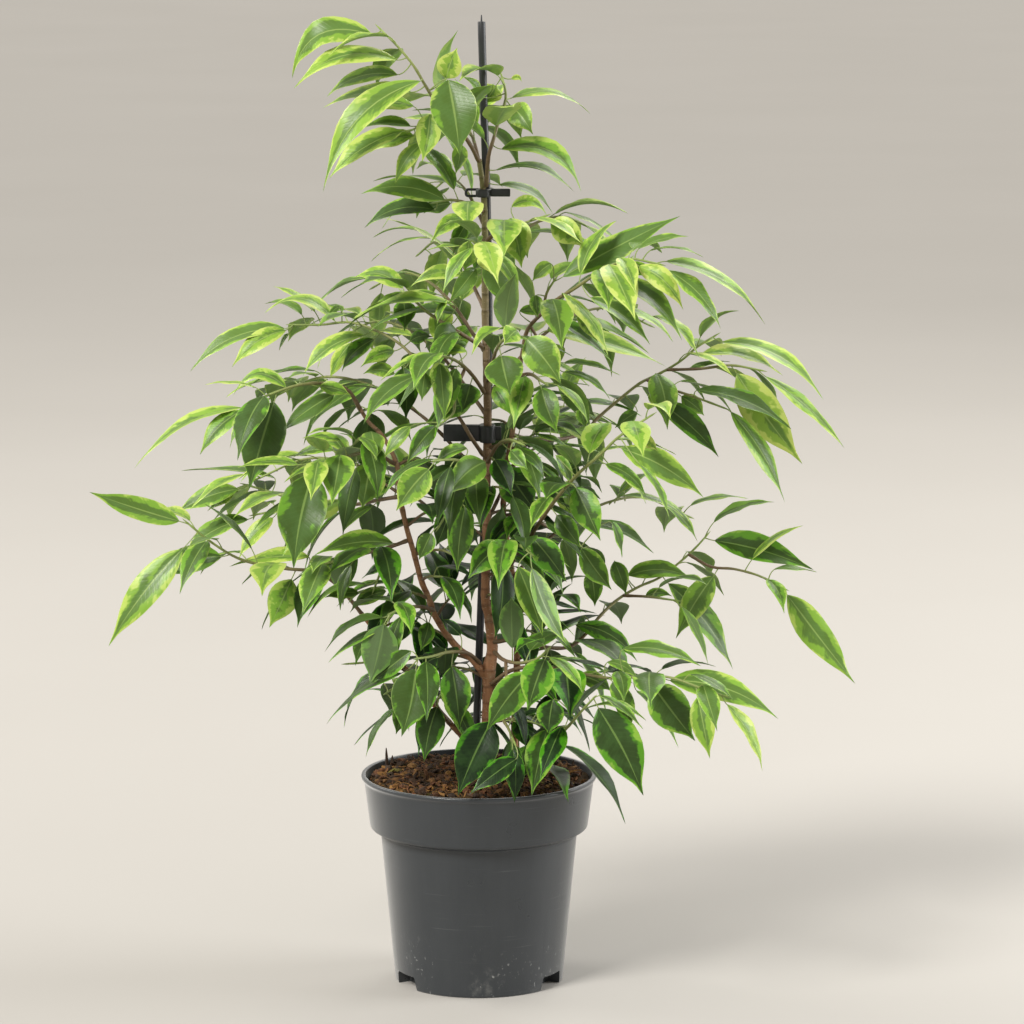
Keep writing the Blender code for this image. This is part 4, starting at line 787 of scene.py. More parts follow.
spray("centre_upper", "trunk",
      [(5, 632, 4), (4, 645, 16), (2, 656, 32), (1, 660, 50), (2, 656, 66)],
      [(-2, 652, 26, 604, 20, 5, 12), (5, 664, 12, 634, 16, 3, 28), (16, 652, 27, 611, 17, 3, -30),
       (14, 650, 33, 641, 14, 3, -12), (-8, 664, -12, 638, 18, 3, -30), (-2, 640, -27, 608, 16, 6, 22),
       (-14, 634, -60, 623, 13, 8, -16)], fill=2)

# Left side

spray("left_top", "trunk",
      [(4, 570, 3), (-20, 585, 10), (-42, 599, 8), (-58, 613, 2), (-66, 619, -4)],
      [(-66, 622, -110, 631, 15, 8, -30), (-71, 619, -65, 584, 20, 4, 24),
       (-20, 607, -112, 594, 9, 11, 8), (-18, 600, -92, 588, 9, 9, -24), (-10, 580, -42, 569, 18, 12, 24),
       (-28, 612, -36, 590, 7, 3, 20)], fill=2)
spray("left_mid", "trunk",
      [(4, 474, 4), (-6, 489, 14), (-16, 506, 14), (-30, 527, 8), (-42, 545, 0), (-54, 558, -8),
       (-68, 572, -16), (-86, 583, -24), (-112, 592, -34), (-138, 590, -42), (-162, 590, -48)],
      [(-118, 600, -188, 600, 9, 17, -10), (-168, 592, -254, 548, 12, 14, -14),
       (-164, 586, -217, 552, 17, 9, 16), (-163, 584, -175, 567, 4, 2, -4),
       (-60, 575, -40, 579, 12, 3, 24), (-70, 568, -104, 552, 14, 5, 22),
       (-96, 578, -155, 544, 14, 10, 14), (-88, 580, -120, 548, 15, 6, -18),
       (-112, 574, -131, 541, 13, 4, -6), (-122, 606, -133, 596, 6, 3, 10),
       (-66, 552, -64, 505, 24, 3, 34), (-74, 546, -102, 546, 13, 5, 4), (-58, 580, -96, 583, 6, 3, -26)],
      fill=4)
spray("centre_left", "trunk",
      [(5, 530, 4), (-6, 546, 16), (-18, 557, 30), (-32, 562, 44), (-46, 557, 54)],
      [(-10, 566, -53, 551, 9, 9, -24), (-47, 551, -50, 522, 14, 3, 8), (-24, 553, -44, 532, 18, 4, 20),
       (-4, 546, -15, 511, 22, 3, 28), (-6, 520, -48, 501, 19, 6, 24), (-38, 500, -64, 465, 16, 5, 22),
       (-60, 500, -84, 470, 12, 4, 10)], fill=2,
      twigs=[[(-12, 551, 22), (-20, 530, 30), (-22, 512, 34), (-32, 503, 36)]])
spray("limb_tip", "trunk",
      [(-104, 514, 20), (-114, 531, 26), (-128, 537, 30), (-146, 538, 34), (-164, 535, 38),
       (-184, 528, 40), (-200, 521, 40)],
      [(-162, 541, -216, 527, 8, 15, -20), (-176, 528, -203, 443, 38, 5, 20),
       (-206, 520, -304, 462, 9, 12, 6), (-208, 514, -246, 474, 16, 5, 20),
       (-120, 530, -176, 492, 17, 5, 16), (-106, 509, -172, 500, 9, 5, -12),
       (-148, 533, -112, 527, 12, 3, -18), (-96, 497, -122, 496, 12, 4, 14)], fill=3)
spray("limb_upper", "trunk",
      [(-74, 466, 16), (-92, 476, 26), (-112, 474, 40), (-132, 467, 52), (-150, 466, 60)],
      [(-144, 461, -164, 372, 42, 5, 22), (-94, 484, -103, 426, 32, 4, 24),
       (-108, 462, -120, 402, 18, 4, 20), (-122, 487, -156, 489, 8, 3, -10),
       (-128, 478, -164, 472, 9, 3, -34), (-156, 469, -214, 462, 9, 5, 6)], fill=3)
spray("limb_back", "trunk",
      [(-70, 437, 12), (-88, 434, 2), (-108, 430, -10), (-132, 428, -24), (-156, 431, -36),
       (-180, 440, -46), (-204, 447, -52)],
      [(-208, 450, -268, 422, 18, 4, 6), (-180, 454, -263, 460, 6, 4, -16),
       (-176, 422, -213, 380, 15, 4, 14), (-204, 422, -263, 382, 15, 9, 10),
       (-86, 426, -121, 403, 9, 4, 16), (-216, 440, -240, 424, 9, 2, 4),
       (-76, 452, -104, 436, 20, 5, -20)],
      twigs=[[(-156, 431, -36), (-176, 425, -40), (-196, 421, -44)]], fill=4)
spray("limb_lower", "trunk",
      [(-62, 398, 12), (-78, 392, 20), (-100, 386, 30), (-124, 380, 40), (-146, 374, 46)],
      [(-68, 402, -146, 384, 17, 7, 14), (-118, 376, -160, 366, 7, 3, 12),
       (-94, 364, -152, 328, 6, 11, 14), (-72, 378, -104, 363, 8, 3, -10),
       (-106, 350, -137, 346, 10, 3, 6), (-82, 352, -112, 336, 14, 5, -8)],
      twigs=[[(-80, 391, 21), (-86, 372, 22), (-92, 356, 22)]], fill=3)
spray("limb_foot", "trunk",
      [(-40, 335, 12), (-52, 338, 26), (-66, 337, 42), (-78, 332, 56)],
      [(-76, 335, -137, 297, 6, 8, 6), (-84, 322, -97, 268, -32, 4, 10), (-56, 330, -72, 303, 15, 4, 14),
       (-44, 324, -52, 297, 15, 3, 20), (-86, 318, -134, 287, 6, 4, -12)], fill=2)
spray("low_front_left", "trunk",
      [(1, 287, 6), (-10, 296, 18), (-26, 297, 32), (-42, 293, 46), (-54, 291, 56)],
      [(-55, 285, -69, 220, 37, 4, 18), (-60, 298, -96, 268, 17, 4, -6), (-24, 284, -17, 226, 27, 3, 26),
       (-32, 302, -48, 284, 16, 3, -18), (-16, 312, -34, 327, 11, 3, -14),
       (-68, 278, -136, 231, 7, 8, -16)], fill=1)

# Left stem

spray("left_reach", "stem_left",
      [(-101, 328, -24), (-124, 356, -18), (-144, 369, -12), (-168, 372, -8), (-190, 375, -6),
       (-214, 382, -2), (-238, 397, 0), (-256, 412, 2)],
      [(-262, 418, -344, 441, 22, -3, 4), (-222, 382, -292, 365, 24, 6, -14),
       (-262, 390, -329, 302, 27, 8, 14), (-150, 383, -221, 374, 14, 4, 6),
       (-162, 366, -186, 319, 27, 3, 10), (-238, 404, -262, 380, 8, 3, 8)], fill=4)
spray("left_low", "stem_left",
      [(-50, 262, -34), (-60, 268, -22), (-72, 266, -8), (-82, 260, 4)],
      [(-76, 246, -101, 201, 6, 4, 8), (-86, 270, -112, 258, 8, 4, -26),
       (-66, 256, -74, 222, 16, 3, -20)], fill=2)
spray("left_foot", "stem_left",
      [(-26, 232, -38), (-34, 243, -24), (-38, 252, -8), (-34, 258, 8)],
      [(-31, 254, -49, 197, 25, 4, 22), (-27, 232, -38, 204, 17, 3, 16), (-24, 214, -50, 190, 15, 6, 46)],
      fill=1)

# Centre

spray("centre_folded", "trunk",
      [(8, 540, 4), (12, 556, 20), (17, 570, 40), (24, 578, 60), (32, 580, 78)],
      [(15, 574, 28, 527, 34, 3, 20), (42, 578, 73, 537, 31, 6, 14), (34, 585, 22, 572, 18, 3, 24),
       (6, 544, 30, 508, 15, 5, 16)], fill=1)
spray("centre_right", "trunk",
      [(8, 468, 4), (16, 482, 16), (26, 488, 30), (38, 484, 44)],
      [(18, 491, 58, 449, 10, 10, 10), (24, 462, 50, 424, 34, 3, -8), (28, 478, 44, 460, 14, 3, 26),
       (14, 470, 30, 436, 20, 3, 10)], fill=2)
spray("centre_dark", "trunk",
      [(6, 440, 4), (-2, 456, 20), (-10, 466, 38), (-22, 470, 56), (-38, 469, 72)],
      [(6, 468, -29, 436, 26, 5, 22), (-46, 465, -73, 424, 27, 4, 10), (-26, 442, -38, 392, 19, 4, -8),
       (-12, 428, -19, 368, 23, 3, 10), (-10, 480, -40, 462, 10, 5, -24), (-42, 404, -53, 380, 16, 3, 6)],
      twigs=[[(-8, 464, 34), (-18, 448, 36), (-24, 430, 36), (-34, 412, 34)]], fill=1)
spray("centre_low", "trunk",
      [(6, 372, 4), (14, 384, 18), (24, 392, 34), (36, 393, 50), (46, 386, 62)],
      [(22, 394, -10, 362, 25, 4, 30), (21, 378, 14, 308, 21, 3, 12), (30, 364, 28, 322, 13, 2, -14),
       (35, 374, 57, 311, 23, 3, 2), (47, 373, 79, 302, 17, -3, 14), (48, 400, 78, 360, 24, 4, 6)],
      fill=1)
spray("front_low", "trunk",
      [(14, 297, 5), (22, 290, 24), (36, 287, 44), (52, 291, 64), (62, 300, 80)],
      [(66, 303, 43, 243, 29, 5, 20), (46, 279, 6, 224, 29, 5, 12), (11, 234, -19, 166, 36, 4, 22)],
      twigs=[[(24, 289, 28), (24, 272, 38), (20, 258, 46), (16, 246, 50)]], fill=1)

# Right side

spray("right_top", "stem_right",
      [(38, 560, 20), (43, 585, 26), (56, 600, 32), (70, 613, 38), (86, 623, 44), (102, 634, 50),
       (116, 642, 54), (134, 648, 58), (156, 644, 60)],
      [(68, 630, 177, 686, 23, 4, -24), (132, 652, 180, 603, 19, 10, 16),
       (112, 634, 179, 576, 17, 11, 24), (120, 640, 156, 632, 12, 3, -10),
       (164, 646, 252, 590, 11, 12, -16), (166, 638, 213, 586, 15, 7, 14),
       (140, 657, 184, 668, 6, 3, -14), (98, 614, 151, 572, 14, 5, 26), (106, 620, 143, 582, 10, 5, -16),
       (74, 618, 114, 562, 11, 6, 30), (62, 596, 118, 556, 11, 4, 10), (88, 604, 105, 574, 15, 3, -14),
       (50, 616, 52, 596, 12, 2, 14), (64, 644, 47, 628, 13, 3, 8), (36, 602, 60, 596, 9, 3, -16),
       (60, 585, 165, 553, 17, 5, -26), (64, 558, 125, 545, 5, 3, -6), (74, 548, 116, 523, 6, 8, 6)],
      twigs=[[(56, 600, 32), (60, 618, 34), (66, 628, 36)],
             [(46, 588, 27), (56, 572, 18), (66, 558, 12)]], fill=4)
spray("right_mid", "stem_right",
      [(30, 492, 4), (48, 488, -6), (70, 488, -16), (92, 494, -26), (106, 508, -34), (122, 522, -40),
       (142, 538, -46), (160, 547, -50), (178, 558, -54), (192, 570, -56), (206, 579, -58)],
      [(212, 582, 304, 523, 12, 17, 6), (188, 567, 268, 545, 9, 9, -14), (252, 546, 323, 480, 11, 5, 6),
       (221, 556, 286, 466, 35, 5, 22), (192, 532, 276, 497, 13, 9, 14), (222, 513, 271, 431, 17, 5, 8),
       (160, 520, 212, 472, 21, 7, 24), (152, 536, 163, 510, 17, 3, 18), (172, 534, 199, 509, 16, 4, 4),
       (140, 512, 120, 498, 12, 3, 12), (90, 516, 95, 498, 12, 2, 16), (74, 526, 103, 508, 16, 5, -12),
       (178, 551, 222, 557, 5, 3, -16), (88, 492, 36, 498, 9, 3, -12)], fill=4,
      twigs=[[(166, 550, -51), (196, 551, -48), (222, 554, -46), (246, 550, -44)],
             [(148, 541, -47), (166, 534, -42), (190, 526, -38), (214, 517, -34)]])
spray("right_front", "stem_right",
      [(36, 545, 18), (46, 546, 34), (54, 541, 50), (60, 537, 64)],
      [(50, 539, 70, 493, 23, 4, 22), (34, 536, 47, 519, 12, 3, 14), (38, 520, 53, 502, 15, 3, 4),
       (52, 552, 76, 540, 10, 3, -24)], fill=1)
spray("right_low_mid", "stem_right",
      [(28, 376, -28), (42, 395, -12), (54, 414, 4), (68, 434, 18), (82, 451, 30), (94, 463, 40),
       (108, 475, 48), (122, 489, 54), (136, 499, 58), (150, 508, 60)],
      [(120, 482, 199, 436, 23, 5, 10), (134, 492, 159, 477, 12, 3, 14), (106, 470, 148, 437, 11, 5, 12),
       (142, 466, 169, 416, 8, 4, -14), (120, 462, 148, 430, 6, 5, -26), (68, 474, 82, 447, 10, 3, -14),
       (86, 445, 108, 397, 26, 4, 24), (62, 430, 91, 390, 19, 4, 16), (84, 398, 118, 353, 21, 5, -8),
       (98, 373, 103, 338, 17, 3, -10), (118, 414, 127, 382, 8, 2, -22), (56, 452, 82, 436, 13, 4, -20)],
      twigs=[[(54, 414, 4), (68, 406, -2), (82, 402, -8), (92, 390, -12), (98, 380, -14)]], fill=4)
spray("right_reach", "trunk",
      [(13, 306, 4), (34, 308, 0), (56, 302, -6), (78, 301, -12), (92, 310, -18), (108, 330, -24),
       (124, 345, -30), (142, 356, -34), (160, 364, -38), (178, 378, -42), (192, 391, -44),
       (200, 400, -46)],
      [(204, 401, 297, 371, 25, 5, 8), (208, 414, 262, 432, 7, 6, -12), (272, 353, 335, 268, 28, 4, 14),
       (132, 366, 190, 363, 16, 7, -18), (166, 360, 226, 281, 23, 8, -6), (213, 369, 175, 309, 25, 3, 22),
       (138, 345, 172, 347, 9, 4, 12), (180, 338, 204, 285, 9, 3, 10), (120, 379, 131, 348, 16, 3, 14),
       (86, 322, 141, 288, 17, 9, 14), (92, 330, 84, 300, 8, 2, 10), (262, 372, 300, 369, 5, 2, -12)],
      twigs=[[(186, 385, -43), (206, 374, -40), (226, 372, -38), (248, 366, -36), (268, 356, -34)],
             [(128, 348, -31), (150, 347, -26), (172, 344, -22)]], fill=4)
spray("right_low", "trunk",
      [(11, 268, 6), (28, 280, 14), (50, 284, 22), (74, 281, 32), (98, 276, 42), (122, 273, 52),
       (146, 275, 60), (170, 274, 66), (196, 265, 70), (216, 258, 72)],
      [(150, 271, 193, 216, 35, 4, 14), (162, 281, 267, 236, 25, 8, -8), (190, 260, 206, 200, 21, 5, 16),
       (222, 255, 253, 188, 12, 6, 4), (84, 288, 118, 261, 15, 5, -12), (62, 268, 96, 245, 10, 4, 10),
       (114, 288, 142, 271, 9, 4, 10), (128, 300, 198, 284, 13, 8, -16), (80, 262, 99, 206, 5, 2, -6),
       (140, 262, 178, 210, 6, 4, -14)], fill=4)
spray("right_foot", "stem_right",
      [(32, 208, -70), (48, 208, -40), (64, 214, -10), (80, 230, 16), (92, 244, 34), (102, 255, 46)],
      [(104, 259, 147, 166, 38, 4, 10), (76, 212, 131, 140, 9, 8, 6), (61, 227, 47, 166, 27, 4, 56),
       (56, 196, 80, 160, 15, 8, 110), (36, 240, 44, 208, 20, 3, 14), (66, 254, 62, 222, 24, 3, 2)],
      fill=1)
spray("front_foot", "trunk",
      [(12, 246, 4), (18, 240, 22), (26, 228, 42), (32, 214, 62)],
      [(34, 200, -9, 167, 19, 5, 30)], fill=1)


# Branches at the back of the crown, which follow a rule

BACK_COUNT = 12
BACK_LOW = 300.0
BACK_HIGH = 715.0
BACK_SPREAD_LOW = 72.0
BACK_SPREAD_HIGH = 50.0
BACK_LEAF_STEP = 27.0
BACKWARD = 90.0
BACK_PHASE = 0.5
GOLDEN_SHARE = 0.618
CROWN_REACH = [(250, 170), (350, 235), (450, 225), (560, 170), (650, 105), (730, 80), (800, 70)]
BACK_SHAPE = [(0.0, 0.0), (0.12, 0.10), (0.30, 0.24), (0.52, 0.34), (0.76, 0.36), (1.0, 0.26)]
BACK_LIFTS = (0, 12, -12, 20)
BACK_SWINGS = (0, 8, -8, 16, -16, 24, -24, 32, -32)


def crown_reach(height):
    """How far a branch that starts at this height reaches from the trunk."""
    for (low, first), (high, second) in zip(CROWN_REACH, CROWN_REACH[1:]):
        if height <= high:
            return lerp(first, second, max(0.0, (height - low) / (high - low)))
    return CROWN_REACH[-1][1]


def point_at(points, height):
    """Where a route passes this height."""
    for low, high in zip(points, points[1:]):
        if low.z <= height <= high.z:
            return low.lerp(high, (height - low.z) / (high.z - low.z))
    return points[-1]


def back_branch(height, turn):
    """The route of a branch that leaves the trunk at this height and in this direction."""
    outward = Vector((math.cos(turn), math.sin(turn), 0.0))
    reach = crown_reach(height)
    foot = point_at(STEMS["trunk"][0][0], height)
    return [foot + outward * (reach * out) + Vector((0, 0, reach * rise)) for out, rise in BACK_SHAPE]


def back_sprays(obstacles):
    """Add the back branches, each turned or lifted as little as keeps it clear of the rest."""
    for i in range(BACK_COUNT):
        up_share = i / (BACK_COUNT - 1)
        height = lerp(BACK_LOW, BACK_HIGH, up_share)
        share = (BACK_PHASE + i * GOLDEN_SHARE) % 1.0
        turn = BACKWARD + lerp(BACK_SPREAD_LOW, BACK_SPREAD_HIGH, up_share) * (2.0 * share - 1.0)
        for lift, swing in itertools.product(BACK_LIFTS, BACK_SWINGS):
            points = back_branch(height + lift, math.radians(turn + swing))
            room = tube(points, [TWIG_FOOT + CLEARANCE] * len(points), TWIG_SIDES)
            if not obstacles.meets(*room, skip=("trunk",)):
                break
        name = "spray_back_%02d" % (i + 1)
        SPRAYS.append({"name": name, "carrier": "trunk", "leaves": [], "fill": 0, "stems": [points],
                       "along": BACK_LEAF_STEP})
        obstacles.add(name + " stem", *tube(points, twig_radii(points, True), TWIG_SIDES))


# Leaves

UP = Vector((0.0, 0.0, 1.0))
FLAT_SHARE = 0.4
KEEL_SHARE = 0.6

# Sections along a blade, as (share of its length, share of its width)
LONG_LEAF = 63.0
LONG_STATIONS = [(0.0, 0.07), (0.22, 0.86), (0.60, 0.78)]
SHORT_STATIONS = [(0.0, 0.09), (0.38, 1.0)]


class Leaf:
    """A blade on its stalk: root on the twig, blade from start to tip over a raised middle."""

    def __init__(self, root, start, tip, width, bow, facing):
        self.root = root
        self.start = start
        self.tip = tip
        self.width = width
        chord = tip - start
        self.length = chord.length
        ahead = chord.normalized()
        facing = facing - ahead * facing.dot(ahead)
        self.facing = facing.normalized()
        steep = abs(ahead.z)
        rise = UP * (1.0 - steep) + self.facing * steep
        rise = (rise - ahead * rise.dot(ahead)).normalized()
        self.middle = (start + tip) / 2 + rise * (2.0 * bow)

    def centre(self, t):
        return self.start * (1 - t) ** 2 + self.middle * (2 * t * (1 - t)) + self.tip * t ** 2

    def ahead(self, t):
        return ((self.middle - self.start) * (1 - t) + (self.tip - self.middle) * t).normalized()

    def mesh(self, grow=0.0, stalk=True):
        """Three-sided sections: flat above, with the rib as a keel below."""
        stations = LONG_STATIONS if self.length > LONG_LEAF else SHORT_STATIONS
        rows = []
        if stalk:
            rows.append((self.root, (self.start - self.root).normalized(), STALK_WIDTH))
        for t, share in stations:
            rows.append((self.centre(t), self.ahead(t), max(self.width * share, BLADE_FOOT_WIDTH)))
        verts = []
        for point, ahead, width in rows:
            side = ahead.cross(self.facing).normalized()
            face = side.cross(ahead).normalized()
            reach = side * (width / 2 + grow * 2)
            above = face * (LEAF_THICKNESS * FLAT_SHARE + grow)
            below = face * (LEAF_THICKNESS * KEEL_SHARE + grow * 2)
            verts += [point - reach + above, point + reach + above, point - below]
        verts.append(self.tip + self.ahead(1.0) * grow)
        faces = [(2, 1, 0)]
        for i in range(len(rows) - 1):
            for k in range(3):
                low, high = i * 3 + k, i * 3 + 3 + k
                next_low, next_high = i * 3 + (k + 1) % 3, i * 3 + 3 + (k + 1) % 3
                faces += bulging(verts, low, next_low, next_high, high)
        end = (len(rows) - 1) * 3
        last = len(verts) - 1
        for k in range(3):
            faces.append((end + k, end + (k + 1) % 3, last))
        return verts, faces


def bulging(verts, a, b, c, d):
    """Split the four-sided face a, b, c, d into the two triangles that stand outwards."""
    normal = (verts[c] - verts[a]).cross(verts[d] - verts[b])
    if (verts[a] + verts[c] - verts[b] - verts[d]).dot(normal) > 0:
        return [(a, b, c), (a, c, d)]
    return [(a, b, d), (b, c, d)]


class Obstacles:
    """What is already placed, so that leaves are bent clear of it."""

    def __init__(self):
        self.items = []

    def add(self, owner, verts, faces):
        low = [min(v[k] for v in verts) for k in range(3)]
        high = [max(v[k] for v in verts) for k in range(3)]
        self.items.append((owner, low, high, BVHTree.FromPolygons(verts, faces)))

    def meets(self, verts, faces, skip=()):
        low = [min(v[k] for v in verts) for k in range(3)]
        high = [max(v[k] for v in verts) for k in range(3)]
        tree = None
        for owner, other_low, other_high, other in self.items:
            if owner in skip:
                continue
            if any(low[k] > other_high[k] or high[k] < other_low[k] for k in range(3)):
                continue
            if tree is None:
                tree = BVHTree.FromPolygons(verts, faces)
            if tree.overlap(other):
                return True
        return False


def is_clear(leaf, owner, obstacles, cross_own=False):
    own_stem = owner + " stem"
    if min(leaf.tip.z, leaf.centre(0.5).z) < LOWEST_LEAF:
        return False
    whole = leaf.mesh(CLEARANCE)
    if cross_own:
        return not obstacles.meets(*whole, skip=(owner, own_stem))
    if obstacles.meets(*whole, skip=(own_stem,)):
        return False
    skip = {item[0] for item in obstacles.items} - {own_stem}
    return not obstacles.meets(*leaf.mesh(CLEARANCE, stalk=False), skip=skip)


def stem_samples(stems, step=3.0):
    """Points along the stems, each with the way ahead there."""
    samples = []
    for points in stems:
        for low, high in zip(points, points[1:]):
            count = max(1, int((high - low).length / step))
            for k in range(count):
                samples.append((low.lerp(high, k / count), (high - low).normalized()))
        samples.append((points[-1], (points[-1] - points[-2]).normalized()))
    return samples


def as_seen(point):
    share = EYE_DISTANCE / (EYE_DISTANCE + point.y)
    flat = EYE + (point - EYE) * share
    return flat.x, flat.z


SHIFTS = [0, 8, -8, 16, -16, 25, -25, 35, -35, 46, -46, 58, -58]
START_NEARER_SHARE = 0.3
USUAL_WIDTH_LIMIT = 34.0
NARROW_SHARE = 0.86
OUTWARD_HINT = 0.4


def seen_leaf(samples, row, shift):
    """The leaf that is seen as the row says, with its tip moved nearer by the shift. A blade
    that is seen narrower than it can be is turned until it looks that narrow."""
    across, up, tip_across, tip_up, seen_width, bow, nearer = row
    root = min(samples, key=lambda item: math.dist(as_seen(item[0]), (across, up)))[0]
    depth = -root.y
    nearer = nearer + shift
    start = seen_at(across, up, depth + nearer * START_NEARER_SHARE)
    tip = seen_at(tip_across, tip_up, depth + nearer)
    if (start - root).length < STALK_LENGTH:
        start = root + (tip - root).normalized() * STALK_LENGTH
    chord = tip - start
    ahead = chord.normalized()
    width = max(abs(seen_width), min(chord.length * WIDEST_RATIO, USUAL_WIDTH_LIMIT) * NARROW_SHARE)
    toward = (EYE - start).normalized()
    face = (toward - ahead * toward.dot(ahead)).normalized()
    side = ahead.cross(face)
    share = min(1.0, abs(seen_width) / width)
    lean = math.sqrt(1.0 - share * share)
    outward = Vector((root.x, root.y, 0.0)).normalized()
    hint = UP + outward * OUTWARD_HINT
    facing = max((face * share + side * lean, face * share - side * lean), key=lambda n: n.dot(hint))
    if seen_width < 0:
        facing = -facing
    return Leaf(root, start, tip, width, bow, facing)


# What is drawn for a leaf that follows a rule, each as a lowest and a highest share
SIZE_RANGE = (0.85, 1.12)
ALONG_TWIG_RANGE = (0.2, 0.7)
LIFT_RANGE = (-0.15, 0.3)
FALL_RANGE = (0.3, 0.95)
FACING_UP_RANGE = (0.7, 1.0)
WIDTH_RANGE = (0.36, 0.43)
BOW_RANGE = (0.07, 0.14)
STALK_EXTRA = 5.0
STALK_RISE = 0.35
FACING_OUT = 0.6


def rule_leaf(draw, root, heading, outward, size):
    """A leaf that grows out from the twig and hangs over."""
    length = size * draw.uniform(*SIZE_RANGE)
    out = outward + heading * draw.uniform(*ALONG_TWIG_RANGE) + UP * draw.uniform(*LIFT_RANGE)
    out = out.normalized()
    stalk = (out + UP * STALK_RISE).normalized()
    start = root + stalk * (STALK_LENGTH + draw.uniform(0.0, STALK_EXTRA))
    ahead = (out - UP * draw.uniform(*FALL_RANGE)).normalized()
    tip = start + ahead * length
    facing = UP * draw.uniform(*FACING_UP_RANGE) + out * FACING_OUT
    width = length * draw.uniform(*WIDTH_RANGE)
    bow = length * draw.uniform(*BOW_RANGE)
    return Leaf(root, start, tip, width, bow, facing)


FIRST_LEAF_SHARE = 0.26
LEAFY_SHARE = 0.78
FILL_TRIES = 14
PLACE_WANDER = 0.04
FIRST_LEAF_SIZE = 88.0
LAST_LEAF_SIZE = 60.0
SIDE_TURN_RANGE = (-0.5, 0.9)
SIDE_TURN_WEIGHT = 0.5
SIDE_AHEAD = 0.3
FRONT_ACROSS = 0.45
FRONT_RISE = 0.3


def side_way(heading, k, draw):
    """The way out for leaf k of a back branch: left and right by turns."""
    side = heading.cross(UP).normalized() * (1 if k % 2 else -1)
    turn = draw.uniform(*SIDE_TURN_RANGE)
    return (side + UP * turn * SIDE_TURN_WEIGHT + heading * SIDE_AHEAD).normalized()


def front_way(k, draw):
    """The way out for leaf k of a branch that is seen from the front: back and front by turns."""
    sign = 1 if k % 2 else -1
    across = draw.uniform(-FRONT_ACROSS, FRONT_ACROSS)
    return Vector((across, sign, draw.uniform(-FRONT_RISE, FRONT_RISE))).normalized()


def fill_leaves(item, samples, draw, obstacles):
    """Further leaves by rule: along a back branch, or to the front and back of a seen one."""
    leaves = []
    reach = sum((b - a).length for a, b in zip(item["stems"][0], item["stems"][0][1:]))
    count = int(reach * LEAFY_SHARE / item["along"]) if "along" in item else item["fill"]
    main = stem_samples(item["stems"][:1])
    last = len(main) - 1
    for k in range(count):
        share = lerp(FIRST_LEAF_SHARE, 1.0, (k + 0.5) / count)
        size = lerp(FIRST_LEAF_SIZE, LAST_LEAF_SIZE, share)
        for attempt in range(FILL_TRIES):
            place = int((share + draw.uniform(-PLACE_WANDER, PLACE_WANDER)) * last)
            root, heading = main[min(last, max(0, place))]
            outward = side_way(heading, k, draw) if "along" in item else front_way(k + attempt, draw)
            leaf = rule_leaf(draw, root, heading, outward, size)
            if is_clear(leaf, item["name"], obstacles):
                leaves.append(leaf)
                obstacles.add(item["name"], *leaf.mesh())
                break
    return leaves


def seen_leaves(item, samples, obstacles):
    leaves = []
    for row in item["leaves"]:
        for cross_own in (False, True):
            chosen = None
            for shift in SHIFTS:
                leaf = seen_leaf(samples, row, shift)
                if is_clear(leaf, item["name"], obstacles, cross_own):
                    chosen = leaf
                    break
            if chosen:
                leaves.append(chosen)
                obstacles.add(item["name"], *chosen.mesh())
                break
    return leaves


SIDE_TWIG_SHARE = 0.75


def twig_radii(points, main):
    foot = TWIG_FOOT if main else TWIG_FOOT * SIDE_TWIG_SHARE
    return [lerp(foot, TWIG_END, i / (len(points) - 1)) for i in range(len(points))]


def place_leaves(fixed):
    """Choose every leaf. The seen ones come first, then those that the rule adds."""
    obstacles = Obstacles()
    for owner, verts, faces in fixed:
        obstacles.add(owner, verts, faces)
    for item in SPRAYS:
        for k, points in enumerate(item["stems"]):
            obstacles.add(item["name"] + " stem", *tube(points, twig_radii(points, k == 0), TWIG_SIDES))
    back_sprays(obstacles)
    for item in SPRAYS:
        item["samples"] = stem_samples(item["stems"])
        item["placed"] = seen_leaves(item, item["samples"], obstacles)
    draw = random.Random(SEED)
    for item in SPRAYS:
        item["placed"] += fill_leaves(item, item["samples"], draw, obstacles)
    return obstacles


def fixed_solids():
    """The solids that leaves keep clear of, as plain meshes."""
    solids = [("pot", *turned(pot_profile(), POT_SEGMENTS))]
    solids.append(("stake", *tube(*stake_points(), STEM_SIDES)))
    for name, limbs in STEMS.items():
        for k, (points, radii) in enumerate(limbs):
            solids.append((name if k == 0 else name + " limb", *tube(points, radii, STEM_SIDES)))
    for name, verts, faces in clip_solids():
        solids.append((name, verts, faces))
    solids.append(("soil", *turned(SOIL_ROOM, POT_SEGMENTS)))
    return solids


# Clips that hold the trunk to the stake

CLIP_WALL = 2.0
RING_SIDES = 12

# Each clip: its height, how far its band reaches round the stems, how tall it is,
# and its tabs as two corners each, with their height counted from the clip's
CLIPS = {
    "clip_upper": (706.0, 4.6, 7.0, [((9.0, 1.5, -3.4), (28.0, 6.5, 3.4)),
                                     ((-12.0, -1.0, -4.0), (-1.0, 7.0, 4.0))]),
    "clip_lower": (493.0, 5.0, 15.0, [((-31.0, 1.0, -7.0), (1.5, 8.5, 7.5)),
                                      ((12.0, 1.0, -6.0), (20.0, 8.0, 6.0))]),
}


